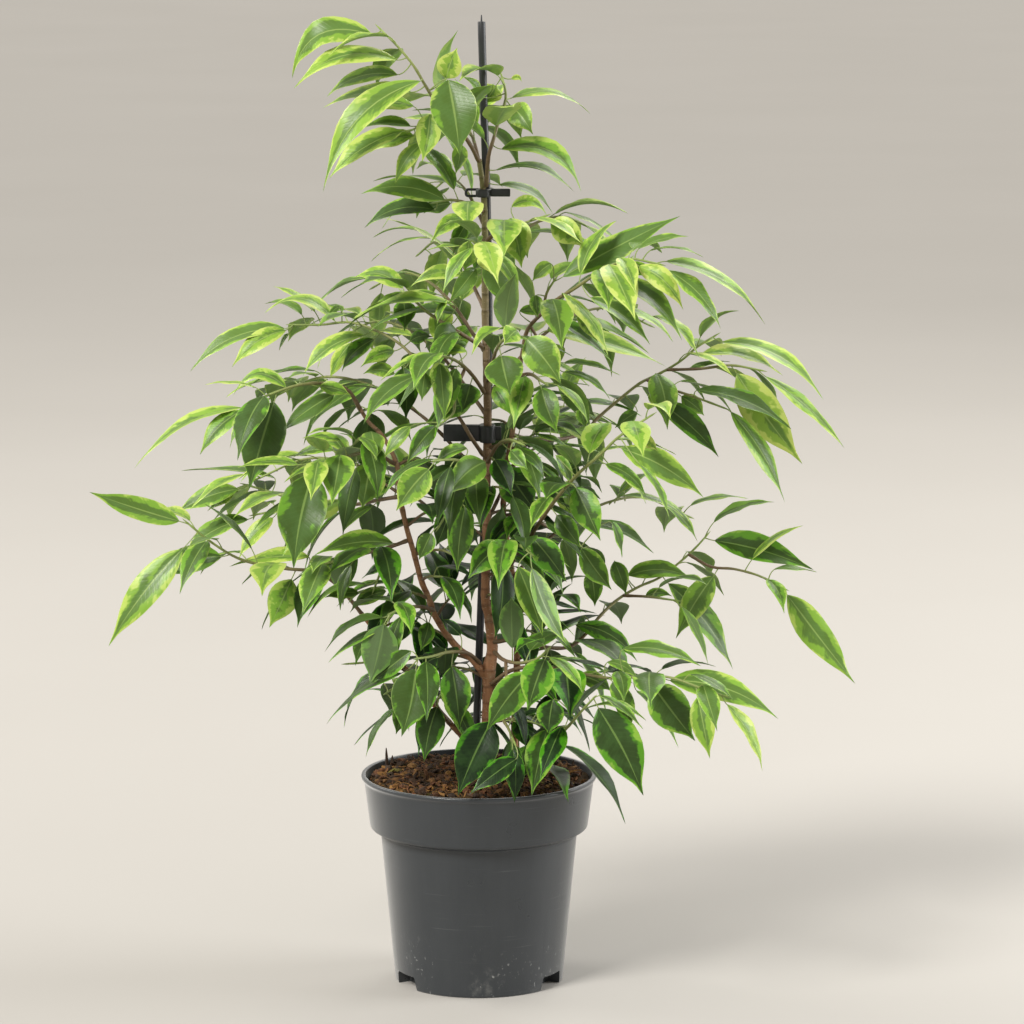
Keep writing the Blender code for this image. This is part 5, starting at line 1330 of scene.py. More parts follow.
def ring_round(height, spread, tall, sides):
    """An upright band round the trunk and the stake at this height."""
    trunk = point_at(STEMS["trunk"][0][0], height)
    stake = point_at(stake_points()[0], height)
    toward = Vector((stake.x - trunk.x, stake.y - trunk.y, 0.0)).normalized()
    side = Vector((-toward.y, toward.x, 0.0))
    outline = []
    for k in range(sides):
        turn = 2 * math.pi * (k + 0.5) / sides
        centre = stake if math.cos(turn) > 0 else trunk
        reach = (toward * math.cos(turn) + side * math.sin(turn)) * spread
        outline.append(Vector((centre.x, centre.y, 0.0)) + reach)
    verts = []
    for z in (height - tall / 2, height + tall / 2):
        verts += [(p.x, p.y, z) for p in outline]
    faces = [tuple(reversed(range(sides))), tuple(range(sides, 2 * sides))]
    for k in range(sides):
        n = (k + 1) % sides
        faces.append((k, n, sides + n, sides + k))
    return verts, faces


def clip_solids(sides=RING_SIDES):
    """The clips' blocks: a band round trunk and stake, with the closing tabs beside it."""
    solids = []
    for name, (height, hold, tall, tabs) in CLIPS.items():
        solids.append((name, *ring_round(height, hold + CLIP_WALL, tall, sides)))
        lift = Vector((0.0, 0.0, height))
        for low, high in tabs:
            solids.append((name, *box(Vector(low) + lift, Vector(high) + lift)))
    return solids


# Fine meshes

class Shape:
    """The points and faces of one piece, with what its material reads from the mesh."""

    def __init__(self):
        self.verts = []
        self.faces = []
        self.slots = []
        self.uvs = []
        self.values = {}

    def add(self, verts, faces, slot=0, uvs=None, **values):
        """Add a part. uvs has one pair per point, and a value is one number or one per face."""
        first = len(self.verts)
        self.verts += verts
        self.faces += [tuple(first + k for k in face) for face in faces]
        self.slots += [slot] * len(faces)
        self.uvs += uvs or [(0.0, 0.0)] * len(verts)
        done = len(self.faces) - len(faces)
        for name, value in values.items():
            row = self.values.setdefault(name, [])
            row += [0.0] * (done - len(row))
            row += list(value) if isinstance(value, (list, tuple)) else [value] * len(faces)

    def build(self, name, materials, sharp_angle=50.0):
        mesh = bpy.data.meshes.new(name)
        mesh.from_pydata([(x * UNIT, y * UNIT, z * UNIT) for x, y, z in self.verts], [], self.faces)
        for material in materials:
            mesh.materials.append(material)
        mesh.polygons.foreach_set("material_index", self.slots)
        layer = mesh.uv_layers.new(name="leaf")
        corners = [0] * len(mesh.loops)
        mesh.loops.foreach_get("vertex_index", corners)
        layer.data.foreach_set("uv", [number for corner in corners for number in self.uvs[corner]])
        for key, row in self.values.items():
            row += [0.0] * (len(self.faces) - len(row))
            mesh.attributes.new(key, "FLOAT", "FACE").data.foreach_set("value", row)
        mesh.shade_smooth()
        mesh.set_sharp_from_angle(angle=math.radians(sharp_angle))
        obj = bpy.data.objects.new(name, mesh)
        bpy.context.scene.collection.objects.link(obj)
        return obj


def finish_piece(obj, slot, *nodes):
    """Attach the piece to the root body and hide the frame nodes that it stands for. The slot is not used.
    """
    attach(obj, "root")
    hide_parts(*nodes)


def smooth_route(points, step):
    """Points about one step apart on a smooth curve through the route's own points."""
    points = [Vector(p) for p in points]
    ends = [points[0] * 2 - points[1]] + points + [points[-1] * 2 - points[-2]]
    route = []
    shares = []
    for i in range(len(points) - 1):
        a, b, c, d = ends[i:i + 4]
        count = max(1, round((c - b).length / step))
        for k in range(count):
            t = k / count
            route.append(0.5 * (2 * b + (c - a) * t + (2 * a - 5 * b + 4 * c - d) * t * t
                                + (3 * b - a - 3 * c + d) * t ** 3))
            shares.append(i + t)
    route.append(points[-1])
    shares.append(float(len(points) - 1))
    return route, shares


def radius_at(radii, share):
    low = min(int(share), len(radii) - 2)
    return lerp(radii[low], radii[low + 1], share - low)


# How far a rounded end stands out, and how wide its cap is, as shares of the radius there
END_REACH = 0.5
END_WIDTH = 0.45


def rounded_tube(points, radii, sides):
    """A closed tube whose two ends narrow to a small cap."""
    points = [Vector(p) for p in points]
    first = (points[0] - points[1]).normalized()
    last = (points[-1] - points[-2]).normalized()
    start = points[0] + first * radii[0] * END_REACH
    end = points[-1] + last * radii[-1] * END_REACH
    radii = [radii[0] * END_WIDTH] + list(radii) + [radii[-1] * END_WIDTH]
    return tube([start] + points + [end], radii, sides)


# Leaves

# Half width of the blade along its length, as a share of the widest
BLADE_OUTLINE = [(0.0, 0.0), (0.025, 0.17), (0.07, 0.42), (0.13, 0.66), (0.21, 0.86), (0.31, 0.98),
                 (0.40, 1.0), (0.50, 0.95), (0.60, 0.82), (0.69, 0.63), (0.765, 0.43), (0.825, 0.26),
                 (0.88, 0.14), (0.94, 0.07), (1.0, 0.0)]
ACROSS = (-1.0, -0.8, -0.52, -0.22, 0.0, 0.22, 0.52, 0.8, 1.0)
BLADE_HALF_THICKNESS = 0.17
GROOVE_DEPTH = 0.22
RIB_DEPTH = 0.55
RIB_END_DEPTH = 0.08

# What is drawn for each blade: its fold along the rib, the curl of its edges, how many waves they
# have and how high, where the waves start, the twist to the tip, and the bow to one side
FOLD_RANGE = (0.10, 0.30)
CURL_RANGE = (-0.22, 0.05)
WAVES_RANGE = (1.2, 2.6)
WAVE_SIZE_RANGE = (0.03, 0.10)
PHASE_RANGE = (0.0, 6.28)
TWIST_RANGE = (-0.30, 0.30)
SICKLE_RANGE = (-0.035, 0.035)

STALK_SIDES = 6
STALK_POINTS = 5
STALK_RADII = [0.675, 0.54, 0.486, 0.459, 0.27]
STALK_BEND = 0.28
STALK_INTO_BLADE = 2.0
FINE_TWIG_SIDES = 8
FINE_STEP = 5.0
KNOT_SIZE = 0.16
KNOT_TURN = 1.7
BUD_ROUTE = [-1.0, 1.5, 4.0, 8.5]
BUD_RADII = [0.7, 1.0, 0.8, 0.12]
BUD_SIDES = 6

# Where along a twig its bark starts to turn green and how fast, and how much green a leaf's stalk loses
# with the leaf's age and painted shade
GREEN_FROM = 0.35
GREEN_RISE = 1.5
STALK_AGEING = 0.25


def blade_skins(leaf, draw):
    """The points of the blade's top and underside, each with its place along and across the leaf."""
    half = leaf.width / 2
    fold = draw.uniform(*FOLD_RANGE)
    curl = draw.uniform(*CURL_RANGE)
    waves = draw.uniform(*WAVES_RANGE)
    wave_size = draw.uniform(*WAVE_SIZE_RANGE)
    phases = (draw.uniform(*PHASE_RANGE), draw.uniform(*PHASE_RANGE))
    twist = draw.uniform(*TWIST_RANGE)
    sickle = draw.uniform(*SICKLE_RANGE) * leaf.length
    top = []
    under = []
    for t, share in BLADE_OUTLINE[1:-1]:
        ahead = leaf.ahead(t)
        side = ahead.cross(leaf.facing).normalized()
        face = side.cross(ahead).normalized()
        side, face = turned_pair(side, face, twist * t * t)
        middle = leaf.centre(t) + side * (sickle * math.sin(math.pi * t))
        for v in ACROSS:
            out = abs(v)
            phase = phases[0] if v > 0 else phases[1]
            height = wave_size * out ** 2 * math.sin(math.pi * t) ** 0.5
            wave = height * math.sin(2 * math.pi * waves * t + phase)
            lift = half * share * (fold * out + curl * out * out) + half * wave
            point = middle + side * (v * half * share) + face * lift
            place = (t, (v + 1) / 2)
            if out == 1.0:
                top.append((point, place))
                continue
            groove = GROOVE_DEPTH * (1 - t) if v == 0.0 else 0.0
            rib = RIB_DEPTH * (1 - t) + RIB_END_DEPTH if v == 0.0 else 0.0
            top.append((point + face * (BLADE_HALF_THICKNESS - groove), place))
            under.append((point - face * (BLADE_HALF_THICKNESS + rib), place))
    return top, under


def turned_pair(side, face, turn):
    """The side and face directions after a turn about the way ahead."""
    return side * math.cos(turn) + face * math.sin(turn), face * math.cos(turn) - side * math.sin(turn)


def blade_faces():
    """The faces of every blade, and for each one whether it is on the underside."""
    rows = len(BLADE_OUTLINE) - 2
    wide = len(ACROSS)
    inner = wide - 2
    tip = 1 + rows * wide
    first_under = tip + 1

    def upper(i, k):
        return 1 + i * wide + k

    def lower(i, k):
        return upper(i, k) if k in (0, wide - 1) else first_under + i * inner + k - 1

    faces = []
    below = []
    for corner, flip in ((upper, False), (lower, True)):
        patch = []
        for k in range(wide - 1):
            patch.append((0, corner(0, k + 1), corner(0, k)))
            patch.append((corner(rows - 1, k), corner(rows - 1, k + 1), tip))
            for i in range(rows - 1):
                patch.append((corner(i, k), corner(i, k + 1), corner(i + 1, k + 1), corner(i + 1, k)))
        faces += [tuple(reversed(face)) for face in patch] if flip else patch
        below += [1.0 if flip else 0.0] * len(patch)
    return faces, below


BLADE_FACES, BLADE_BELOW = blade_faces()


def blade_mesh(leaf, draw):
    """The blade as a thin closed skin: folded along its rib, wavy at its edge, with a drip tip."""
    top, under = blade_skins(leaf, draw)
    points = [(leaf.start.copy(), (0.0, 0.5))] + top + [(leaf.tip.copy(), (1.0, 0.5))] + under
    return [point for point, place in points], BLADE_FACES, [place for point, place in points]


def stalk_points(leaf):
    """A stalk that leaves the twig and bends into the blade's line."""
    reach = (leaf.start - leaf.root).length
    bend = leaf.start - leaf.ahead(0.0) * reach * STALK_BEND
    end = leaf.start + leaf.ahead(0.02) * STALK_INTO_BLADE
    return curve_points(leaf.root, bend, end, STALK_POINTS)


def curve_points(start, bend, end, count):
    """Points on a curve from start to end that is pulled towards the bend."""
    points = []
    for k in range(count):
        t = k / (count - 1)
        points.append(start * (1 - t) ** 2 + bend * 2 * t * (1 - t) + end * t * t)
    return points


# Leaves that show clearly from the front: (across, up) of the blade's middle, how old the leaf
# looks together with its painted shade, and how much of it is lime
SHOWN_TONES = [
    ((-188, 495), 0.66, 0.10), ((-156, 418), 0.60, 0.16), ((-295, 431), 0.35, 0.36),
    ((-296, 347), 0.30, 0.52), ((-121, 853), 0.25, 0.40), ((-102, 771), 0.15, 0.45),
    ((-23, 780), 0.42, 0.12), ((121, 660), 0.38, 0.20), ((248, 535), 0.62, 0.05),
    ((253, 474), 0.45, 0.40), ((299, 316), 0.30, 0.42), ((233, 385), 0.72, 0.22),
    ((120, 223), 0.85, 0.22), ((164, 253), 0.60, 0.62), ((64, 280), 0.80, 0.42), ((-61, 264), 0.60, 0.58),
    ((-24, 264), 0.85, 0.30), ((-8, 207), 1.0, 0.0), ((48, 207), 0.82, 0.40), ((7, 380), 0.80, 0.46),
    ((57, 347), 0.45, 0.38), ((17, 555), 0.50, 0.12), ((62, 576), 0.30, 0.30), ((-104, 459), 0.38, 0.30),
    ((103, 429), 0.70, 0.42), ((-13, 464), 0.95, 0.0), ((194, 630), 0.30, 0.28), ((142, 523), 0.65, 0.10),
    ((-218, 576), 0.25, 0.25), ((194, 340), 0.34, 0.38), ((-203, 503), 0.70, 0.14),
]


def mark_shown_leaves():
    """Give each of the leaves that show clearly its own tones."""
    leaves = [leaf for item in SPRAYS for leaf in item["placed"]]
    for place, age, lime in SHOWN_TONES:
        nearest = min(leaves, key=lambda leaf: math.dist(as_seen(leaf.centre(0.5)), place))
        nearest.tone = (age, lime)


# The crown that the leaves' ages and painted shade are spread over, and its core, where the leaves get
# painted shade
CROWN_RADIUS = 260.0
CROWN_FOOT = 180.0
CROWN_RISE = 680.0
SHADED_CORE_HALF_WIDTH = 130.0
SHADED_CORE_TOP = 540.0
SHADED_CORE_FADE = 170.0

# A leaf's age, which also holds painted shade, at the middle of the crown's foot, how it changes up, out
# and in the shaded core, and how it strays
FOOT_AGE = 0.98
AGE_LOST_UP = 0.78
UP_POWER = 1.2
AGE_LOST_OUT = 0.46
CORE_PAINTED_SHADE = 0.30
AGE_STRAY = 0.17

# How much of a leaf is lime when it is fresh, what it loses with age and painted shade, and how it strays
FRESH_LIME = 0.64
LIME_LOST = 0.62
LIME_STRAY = 0.20


def leaf_age_and_shade(leaf, draw):
    """0 for a fresh lime leaf at the top and the outside, 1 for an old leaf inside, darkened by painted
    shade.
    """
    middle = leaf.centre(0.5)
    out = math.hypot(middle.x, middle.y) / CROWN_RADIUS
    high = (middle.z - CROWN_FOOT) / CROWN_RISE
    # Painted shade: leaves in the crown's core are made older, and so darker.
    core = max(0.0, 1.0 - abs(middle.x) / SHADED_CORE_HALF_WIDTH) * clamped((SHADED_CORE_TOP - middle.z) / SHADED_CORE_FADE)
    age = FOOT_AGE - AGE_LOST_UP * high ** UP_POWER - AGE_LOST_OUT * out + CORE_PAINTED_SHADE * core
    return clamped(age + draw.gauss(0.0, AGE_STRAY))


def add_leaf(shape, leaf, draw):
    verts, faces, uvs = blade_mesh(leaf, draw)
    age = leaf_age_and_shade(leaf, draw)
    lime = clamped(FRESH_LIME - LIME_LOST * age + draw.gauss(0.0, LIME_STRAY))
    age, lime = getattr(leaf, "tone", (age, lime))
    shape.add(verts, faces, 0, uvs, under=BLADE_BELOW, seed=draw.random(), age=age, lime=lime)
    shape.add(*tube(stalk_points(leaf), STALK_RADII, STALK_SIDES), slot=1, young=1.0 - STALK_AGEING * age)


def add_twig(shape, points, main):
    """A twig with small swellings where leaves sat, and a pointed bud at its end."""
    route, shares = smooth_route(points, FINE_STEP)
    coarse = twig_radii(points, main)
    radii = []
    for i, share in enumerate(shares):
        knot = 1.0 + KNOT_SIZE * max(0.0, math.sin(i * KNOT_TURN)) ** 4
        radii.append(radius_at(coarse, share) * knot)
    verts, faces = rounded_tube(route, radii, FINE_TWIG_SIDES)
    young = []
    for ring in range(len(route) + 1):
        young += [clamped((ring / (len(route) - 1) - GREEN_FROM) * GREEN_RISE)] * FINE_TWIG_SIDES
    shape.add(verts, faces, slot=1, young=young + [0.0, 1.0])
    end = route[-1]
    ahead = (route[-1] - route[-2]).normalized()
    bud = [end + ahead * reach for reach in BUD_ROUTE]
    shape.add(*tube(bud, BUD_RADII, BUD_SIDES), slot=1, young=1.0)


def build_spray(item, materials, draw):
    shape = Shape()
    for k, points in enumerate(item["stems"]):
        add_twig(shape, points, k == 0 and "carrier" in item)
    for leaf in item["placed"] + item["added"]:
        add_leaf(shape, leaf, draw)
    obj = shape.build(item["name"].replace("spray_", "leaves_"), materials)
    finish_piece(obj, "leaf", *([item["name"]] if "carrier" in item else []))


# Small leaves between the frame's, which fill the crown out

ADDED_STEP = 25.0
ADDED_LONG = 80.0
ADDED_SHORT = 54.0
ADDED_SLENDER = 0.88
ADDED_TRIES = 9
ADDED_FULLNESS = 0.85
ADDED_FIRST_SHARE = 0.18
ADDED_WANDER = 0.05

# Where along its length an added leaf is held against the gaps and against the open stems
GAP_STATIONS = (0.25, 0.5, 0.75)
STEM_STATIONS = (0.0, 0.2, 0.4, 0.6, 0.8, 1.0)
ADDED_SHRINK = 0.03

SHOOT_STEP = 18.0
SHOOT_LOWEST = 214.0
SHOOT_HIGHEST = 520.0
SHOOT_TRIES = 8
SHOOT_RISE_RANGE = (0.1, 0.6)
SHOOT_LENGTH_RANGE = (22.0, 62.0)
SHOOT_SWAY_RANGE = (-0.15, 0.15)
SHOOT_DROOP = -0.12
SHOOT_RADII = [1.0, 0.9, 0.8]
SHOOT_ROOM = 0.8
SHOOT_LEAF_SHARES = (0.45, 0.65, 0.85, 1.0)

# Stretches of the trunk, its limb and the upper clip that no added leaf hides from the front:
# two ends, each as (across, up), and how wide the stretch is on each side
OPEN_VIEWS = [((10, 222), (11, 300), 9.0), ((11, 300), (6, 348), 8.0), ((8, 272), (-38, 328), 7.0),
              ((-38, 328), (-60, 400), 6.0), ((0, 705), (28, 708), 7.0), ((7, 480), (7, 560), 5.0)]

# How much of an added leaf's width stays clear of those stretches
STEM_ROOM = 0.35

# Gaps in the crown that no added leaf fills, seen from the front: (across, up) of the middle,
# and the radius
OPEN_GAPS = [((-70, 642), 32.0), ((-168, 570), 24.0), ((-119, 572), 20.0), ((-122, 465), 18.0),
             ((64, 710), 28.0), ((153, 572), 26.0), ((120, 524), 24.0), ((128, 592), 18.0),
             ((145, 411), 36.0), ((140, 376), 28.0), ((154, 306), 28.0), ((-119, 320), 22.0),
             ((-128, 279), 24.0), ((-160, 312), 20.0), ((91, 206), 20.0), ((-60, 712), 16.0),
             ((-198, 498), 30.0)]

# Where an added leaf stands alone in front of open background and is taken away again: (across, up)
LONE_LEAVES = [(193, 432), (-51, 845), (237, 347), (60, 660), (-94, 244), (220, 505), (107, 462)]
LONE_REACH = 3.0


def add_small_leaves(obstacles):
    """Leaves smaller than the frame's, along every twig where there is room for them."""
    draw = random.Random(SEED + 1)
    for item in SPRAYS:
        item["added"] = []
        for points in item["stems"]:
            samples = stem_samples([points])
            reach = sum((b - a).length for a, b in zip(points, points[1:]))
            count = int(reach * ADDED_FULLNESS / ADDED_STEP)
            for k in range(count):
                share = lerp(ADDED_FIRST_SHARE, 1.0, (k + 0.5) / count)
                try_leaf(item, samples, share, draw, obstacles, ADDED_TRIES)


def take_lone_leaves():
    """Take away the added leaves whose middle is seen at one of the lone places."""
    for item in SPRAYS:
        item["added"] = [leaf for leaf in item["added"] if not is_lone(leaf)]


def is_lone(leaf):
    seen = as_seen(leaf.centre(0.5))
    return any(math.dist(seen, place) < LONE_REACH for place in LONE_LEAVES)


def try_leaf(item, samples, share, draw, obstacles, tries):
    """Add one leaf at this share of the twig, turned until it is clear of all others."""
    for attempt in range(tries):
        spot = int((share + draw.uniform(-ADDED_WANDER, ADDED_WANDER)) * (len(samples) - 1))
        root, heading = samples[min(len(samples) - 1, max(0, spot))]
        turn = draw.uniform(0.0, 2 * math.pi)
        side = heading.cross(UP).normalized()
        outward = side * math.cos(turn) + side.cross(heading) * math.sin(turn) + heading * OUTWARD_HINT
        size = lerp(ADDED_LONG, ADDED_SHORT, share) * (1.0 - ADDED_SHRINK * attempt)
        leaf = rule_leaf(draw, root, heading, outward.normalized(), size)
        leaf.width *= ADDED_SLENDER
        inside = all(cad_low[k] / UNIT < leaf.tip[k] < cad_high[k] / UNIT for k in range(3))
        if not inside or fills_gap(leaf) or hides_stem(leaf):
            continue
        if is_clear(leaf, item["name"], obstacles):
            item["added"].append(leaf)
            obstacles.add(item["name"], *leaf.mesh())
            return


def fills_gap(leaf):
    """Whether the leaf would be seen in one of the crown's gaps."""
    seen = [Vector(as_seen(leaf.centre(t))) for t in GAP_STATIONS]
    return any((point - Vector(middle)).length < radius for point in seen for middle, radius in OPEN_GAPS)


def hides_stem(leaf):
    """Whether the leaf would stand in front of a stretch that stays open to view."""
    for t in STEM_STATIONS:
        point = leaf.centre(t)
        if point.y > 0.0:
            continue
        seen = Vector(as_seen(point))
        for low, high, wide in OPEN_VIEWS:
            low, high = Vector(low), Vector(high)
            share = clamped((seen - low).dot(high - low) / (high - low).length_squared)
            if (seen - low.lerp(high, share)).length < wide + leaf.width * STEM_ROOM:
                return True
    return False


SHOOT_ARCH = 0.3


def grow_shoots(obstacles):
    """Short leafy shoots straight from the trunk and the stems, which fill the crown's inside."""
    draw = random.Random(SEED + 4)
    shoots = []
    for name, limbs in STEMS.items():
        item = {"name": "shoots_" + name, "stems": [], "placed": [], "added": []}
        for points, radii in limbs:
            for root, heading in stem_samples([points], SHOOT_STEP):
                if SHOOT_LOWEST < root.z < SHOOT_HIGHEST:
                    grow_shoot(item, name, root, draw, obstacles)
        for twig in item["stems"]:
            samples = stem_samples([twig])
            for share in SHOOT_LEAF_SHARES:
                try_leaf(item, samples, share, draw, obstacles, SHOOT_TRIES)
        shoots.append(item)
    return shoots


def grow_shoot(item, name, root, draw, obstacles):
    """Grow one shoot from this point of the stem, in the first drawn way that is free."""
    for attempt in range(SHOOT_TRIES):
        turn = draw.uniform(0.0, 2 * math.pi)
        outward = Vector((math.cos(turn), math.sin(turn), draw.uniform(*SHOOT_RISE_RANGE))).normalized()
        length = draw.uniform(*SHOOT_LENGTH_RANGE)
        across, back = draw.uniform(*SHOOT_SWAY_RANGE), draw.uniform(*SHOOT_SWAY_RANGE)
        sway = Vector((across, back, SHOOT_DROOP)) * length
        middle = root + outward * length * 0.5 - sway * SHOOT_ARCH
        twig = [root, middle, root + outward * length + sway]
        solid = tube(twig, SHOOT_RADII, TWIG_SIDES, grow=SHOOT_ROOM)
        if not obstacles.meets(*solid, skip=(name, name + " limb")):
            item["stems"].append(twig)
            obstacles.add(item["name"] + " stem", *solid)
            return


# Stems

BARK_STEP = 3.0
BARK_SIDES = 20
BARK_WANDER = 0.10
BARK_WANDER_STEP = 0.21
SCAR_SIZE = 0.07
SCAR_TURN = 0.83
BARK_LUMP = 0.28
BARK_LUMP_SCALE = 0.35
BARK_SHARP_ANGLE = 50.0

# How far apart the noises are read that push the bark across, back and up
LUMPS_APART = [Vector((0.0, 0.0, 0.0)), Vector((31.7, 12.3, 5.1)), Vector((-17.9, 40.3, 22.9))]

STAKE_STEP = 12.0
STAKE_SIDES = 24
STAKE_SHARP_ANGLE = 40.0

# The top of the stake: height over the rod's own end, and radius
STAKE_TIP = [(0.35, STAKE_RADIUS * 0.95), (0.5, STAKE_RADIUS * 0.8), (0.7, 0.85), (5.5, 0.6), (6.5, 0.3)]


def bark_tube(points, radii, seed):
    """A stem whose thickness wanders a little, with faint ring scars."""
    route, shares = smooth_route(points, BARK_STEP)
    fine = []
    for i, share in enumerate(shares):
        wander = noise.noise(Vector((i * BARK_WANDER_STEP, seed, 0.0))) * BARK_WANDER
        scar = SCAR_SIZE * max(0.0, math.sin(i * SCAR_TURN + seed)) ** 8
        fine.append(radius_at(radii, share) * (1.0 + wander + scar))
    verts, faces = rounded_tube(route, fine, BARK_SIDES)
    return [v + bark_lump(v * BARK_LUMP_SCALE) for v in verts], faces


def bark_lump(place):
    """How far the bark's unevenness moves a point."""
    return Vector([noise.noise(place + apart) for apart in LUMPS_APART]) * BARK_LUMP


def build_stem(name, material):
    parts = []
    for k, (points, radii) in enumerate(STEMS[name]):
        parts.append(solid_from(*bark_tube(points, radii, k + 1.0), material, name + "_bark"))
    boolean(parts[0], parts[1:], "UNION")
    smooth(parts[0], BARK_SHARP_ANGLE)
    finish_piece(parts[0], "bark", name)


def solid_from(verts, faces, material, name="cutter"):
    shape = Shape()
    shape.add([Vector(v) for v in verts], faces)
    return shape.build(name, [material])


def boolean(obj, others, operation):
    """Apply one Boolean for each of the others, which are then removed."""
    for other in others:
        step = obj.modifiers.new("step", "BOOLEAN")
        step.operation = operation
        step.object = other
        apply_modifiers(obj)
        bpy.data.objects.remove(other)


def apply_modifiers(obj):
    graph = bpy.context.evaluated_depsgraph_get()
    mesh = bpy.data.meshes.new_from_object(obj.evaluated_get(graph))
    obj.modifiers.clear()
    obj.data = mesh


def smooth(obj, sharp_angle):
    obj.data.shade_smooth()
    obj.data.set_sharp_from_angle(angle=math.radians(sharp_angle))


def build_stake(material):
    points, radii = stake_points()
    rod = points[:-len(PIN_RADII)]
    route, shares = smooth_route(rod, STAKE_STEP)
    route += [rod[-1] + UP * height for height, radius in STAKE_TIP]
    fine = [radius_at(radii, share) for share in shares] + [radius for height, radius in STAKE_TIP]
    shape = Shape()
    shape.add(*tube(route, fine, STAKE_SIDES))
    rod = shape.build("stake_rod", [material], STAKE_SHARP_ANGLE)
    finish_piece(rod, "stake", "stake")


# Clips

CLIP_SIDES = 32
CLIP_CUT_SIDES = 20
CLIP_ROOM = 0.2
CLIP_SHARP_ANGLE = 40.0
BEVEL_STEPS = 3
HOOP_RADIUS = 1.15
HOOP_SIDES = 16
HOOP_CORNER = 2.2
CORNER_STEPS = 5


def rounded_block(verts, faces, material, width=0.9):
    obj = solid_from(verts, faces, material)
    bevel = obj.modifiers.new("bevel", "BEVEL")
    bevel.width = width * UNIT
    bevel.segments = BEVEL_STEPS
    bevel.harden_normals = False
    apply_modifiers(obj)
    return obj


def rounded_corner(before, corner, after, radius):
    """Points that round off one corner of a flat outline."""
    before, corner, after = Vector(before), Vector(corner), Vector(after)
    start = corner + (before - corner).normalized() * radius
    end = corner + (after - corner).normalized() * radius
    return [tuple(point) for point in curve_points(start, corner, end, CORNER_STEPS + 1)]


def hoop_mesh(low, high):
    """An open loop of thick wire, as tall and as wide as the block between two corners."""
    left, right = low[0] + HOOP_RADIUS, high[0] + HOOP_RADIUS
    foot, top = low[2] + HOOP_RADIUS, high[2] - HOOP_RADIUS
    depth = (low[1] + high[1]) / 2
    lower, upper = (left, foot), (left, top)
    route = [(right, foot)] + rounded_corner((right, foot), lower, upper, HOOP_CORNER)
    route += rounded_corner(lower, upper, (right, top), HOOP_CORNER) + [(right, top)]
    return tube([(x, depth, z) for x, z in route], [HOOP_RADIUS] * len(route), HOOP_SIDES)


def build_clip(name, material):
    """The clip's ring and tabs as one body. The upper clip's last tab is an open hoop."""
    solids = [solid[1:] for solid in clip_solids(CLIP_SIDES) if solid[0] == name]
    hoops = []
    if name == "clip_upper":
        solids.pop()
        height, tabs = CLIPS[name][0], CLIPS[name][-1]
        low, high = (Vector(corner) + UP * height for corner in tabs[-1])
        hoops.append(solid_from(*hoop_mesh(low, high), material))
    parts = [rounded_block(verts, faces, material) for verts, faces in solids] + hoops
    clip = parts[0]
    boolean(clip, parts[1:], "UNION")
    holes = []
    for points, radii in (STEMS["trunk"][0], stake_points()):
        holes.append(solid_from(*tube(points, [r + CLIP_ROOM for r in radii], CLIP_CUT_SIDES), material))
    boolean(clip, holes, "DIFFERENCE")
    clip.name = name + "_fine"
    smooth(clip, CLIP_SHARP_ANGLE)
    finish_piece(clip, "clip", name)


# Pot

POT_SIDES = 144
POT_SHARP_ANGLE = 35.0
DRAIN_CUT_SIDES = 24
NOTCH_CUT_FOOT = -6.0
NOTCH_ROUNDING = 1.5
CUT_ROOM = 2.0


def fine_profile():
    """The pot's outline, from under the foot, up the outside, over the lip and down the inside.

    Each row is a corner and how far it is rounded. The small numbers are the slopes beside each
    main dimension.
    """
    step = POT_HEIGHT - COLLAR_HEIGHT
    corners = [
        ((0.0, 0.0), 0.0), ((FOOT_RADIUS, 0.0), 1.6), ((BODY_RADIUS - 0.2, step - 2.6), 2.2),
        ((COLLAR_RADIUS - 0.4, step + 1.2), 2.4), ((RIM_RADIUS - 2.6, POT_HEIGHT - 5.0), 2.2),
        ((RIM_RADIUS, POT_HEIGHT - 2.7), 1.1), ((RIM_RADIUS - 0.2, POT_HEIGHT), 1.3),
        ((RIM_RADIUS - 4.0, POT_HEIGHT), 1.2), ((COLLAR_RADIUS - WALL, step + 3.6), 2.0),
        ((BODY_RADIUS - WALL - 0.4, step - 1.4), 2.0), ((FOOT_RADIUS - WALL, FLOOR_THICKNESS), 1.2),
        ((0.0, FLOOR_THICKNESS), 0.0),
    ]
    profile = [corners[0][0]]
    for i in range(1, len(corners) - 1):
        profile += rounded_corner(corners[i - 1][0], corners[i][0], corners[i + 1][0], corners[i][1])
    return profile + [corners[-1][0]]


def build_pot(material):
    pot = solid_from(*turned(fine_profile(), POT_SIDES), material, "pot_shell")
    inner = FOOT_RADIUS - NOTCH_DEPTH
    outer = FOOT_RADIUS + NOTCH_DEPTH
    pads = []
    cutters = []
    for k in range(NOTCH_COUNT):
        pad = foot_block(k, inner - WALL, outer, WALL, PAD_FOOT, NOTCH_HEIGHT + WALL)
        pad = solid_from(*pad, material)
        boolean(pad, [inner_plug(material)], "INTERSECT")
        pads.append(pad)
        notch = foot_block(k, inner, outer, 0.0, NOTCH_CUT_FOOT, NOTCH_HEIGHT)
        cutters.append(rounded_block(*notch, material, NOTCH_ROUNDING))
    for k in range(DRAIN_COUNT):
        turn = math.radians(360 / DRAIN_COUNT * (k + 0.5))
        middle = Vector((DRAIN_CIRCLE * math.cos(turn), DRAIN_CIRCLE * math.sin(turn), 0.0))
        points = [middle - UP * CUT_ROOM, middle + UP * (FLOOR_THICKNESS + CUT_ROOM)]
        cutters.append(solid_from(*tube(points, [DRAIN_RADIUS] * 2, DRAIN_CUT_SIDES), material))
    boolean(pot, pads, "UNION")
    boolean(pot, cutters, "DIFFERENCE")
    smooth(pot, POT_SHARP_ANGLE)
    finish_piece(pot, "pot", "pot")


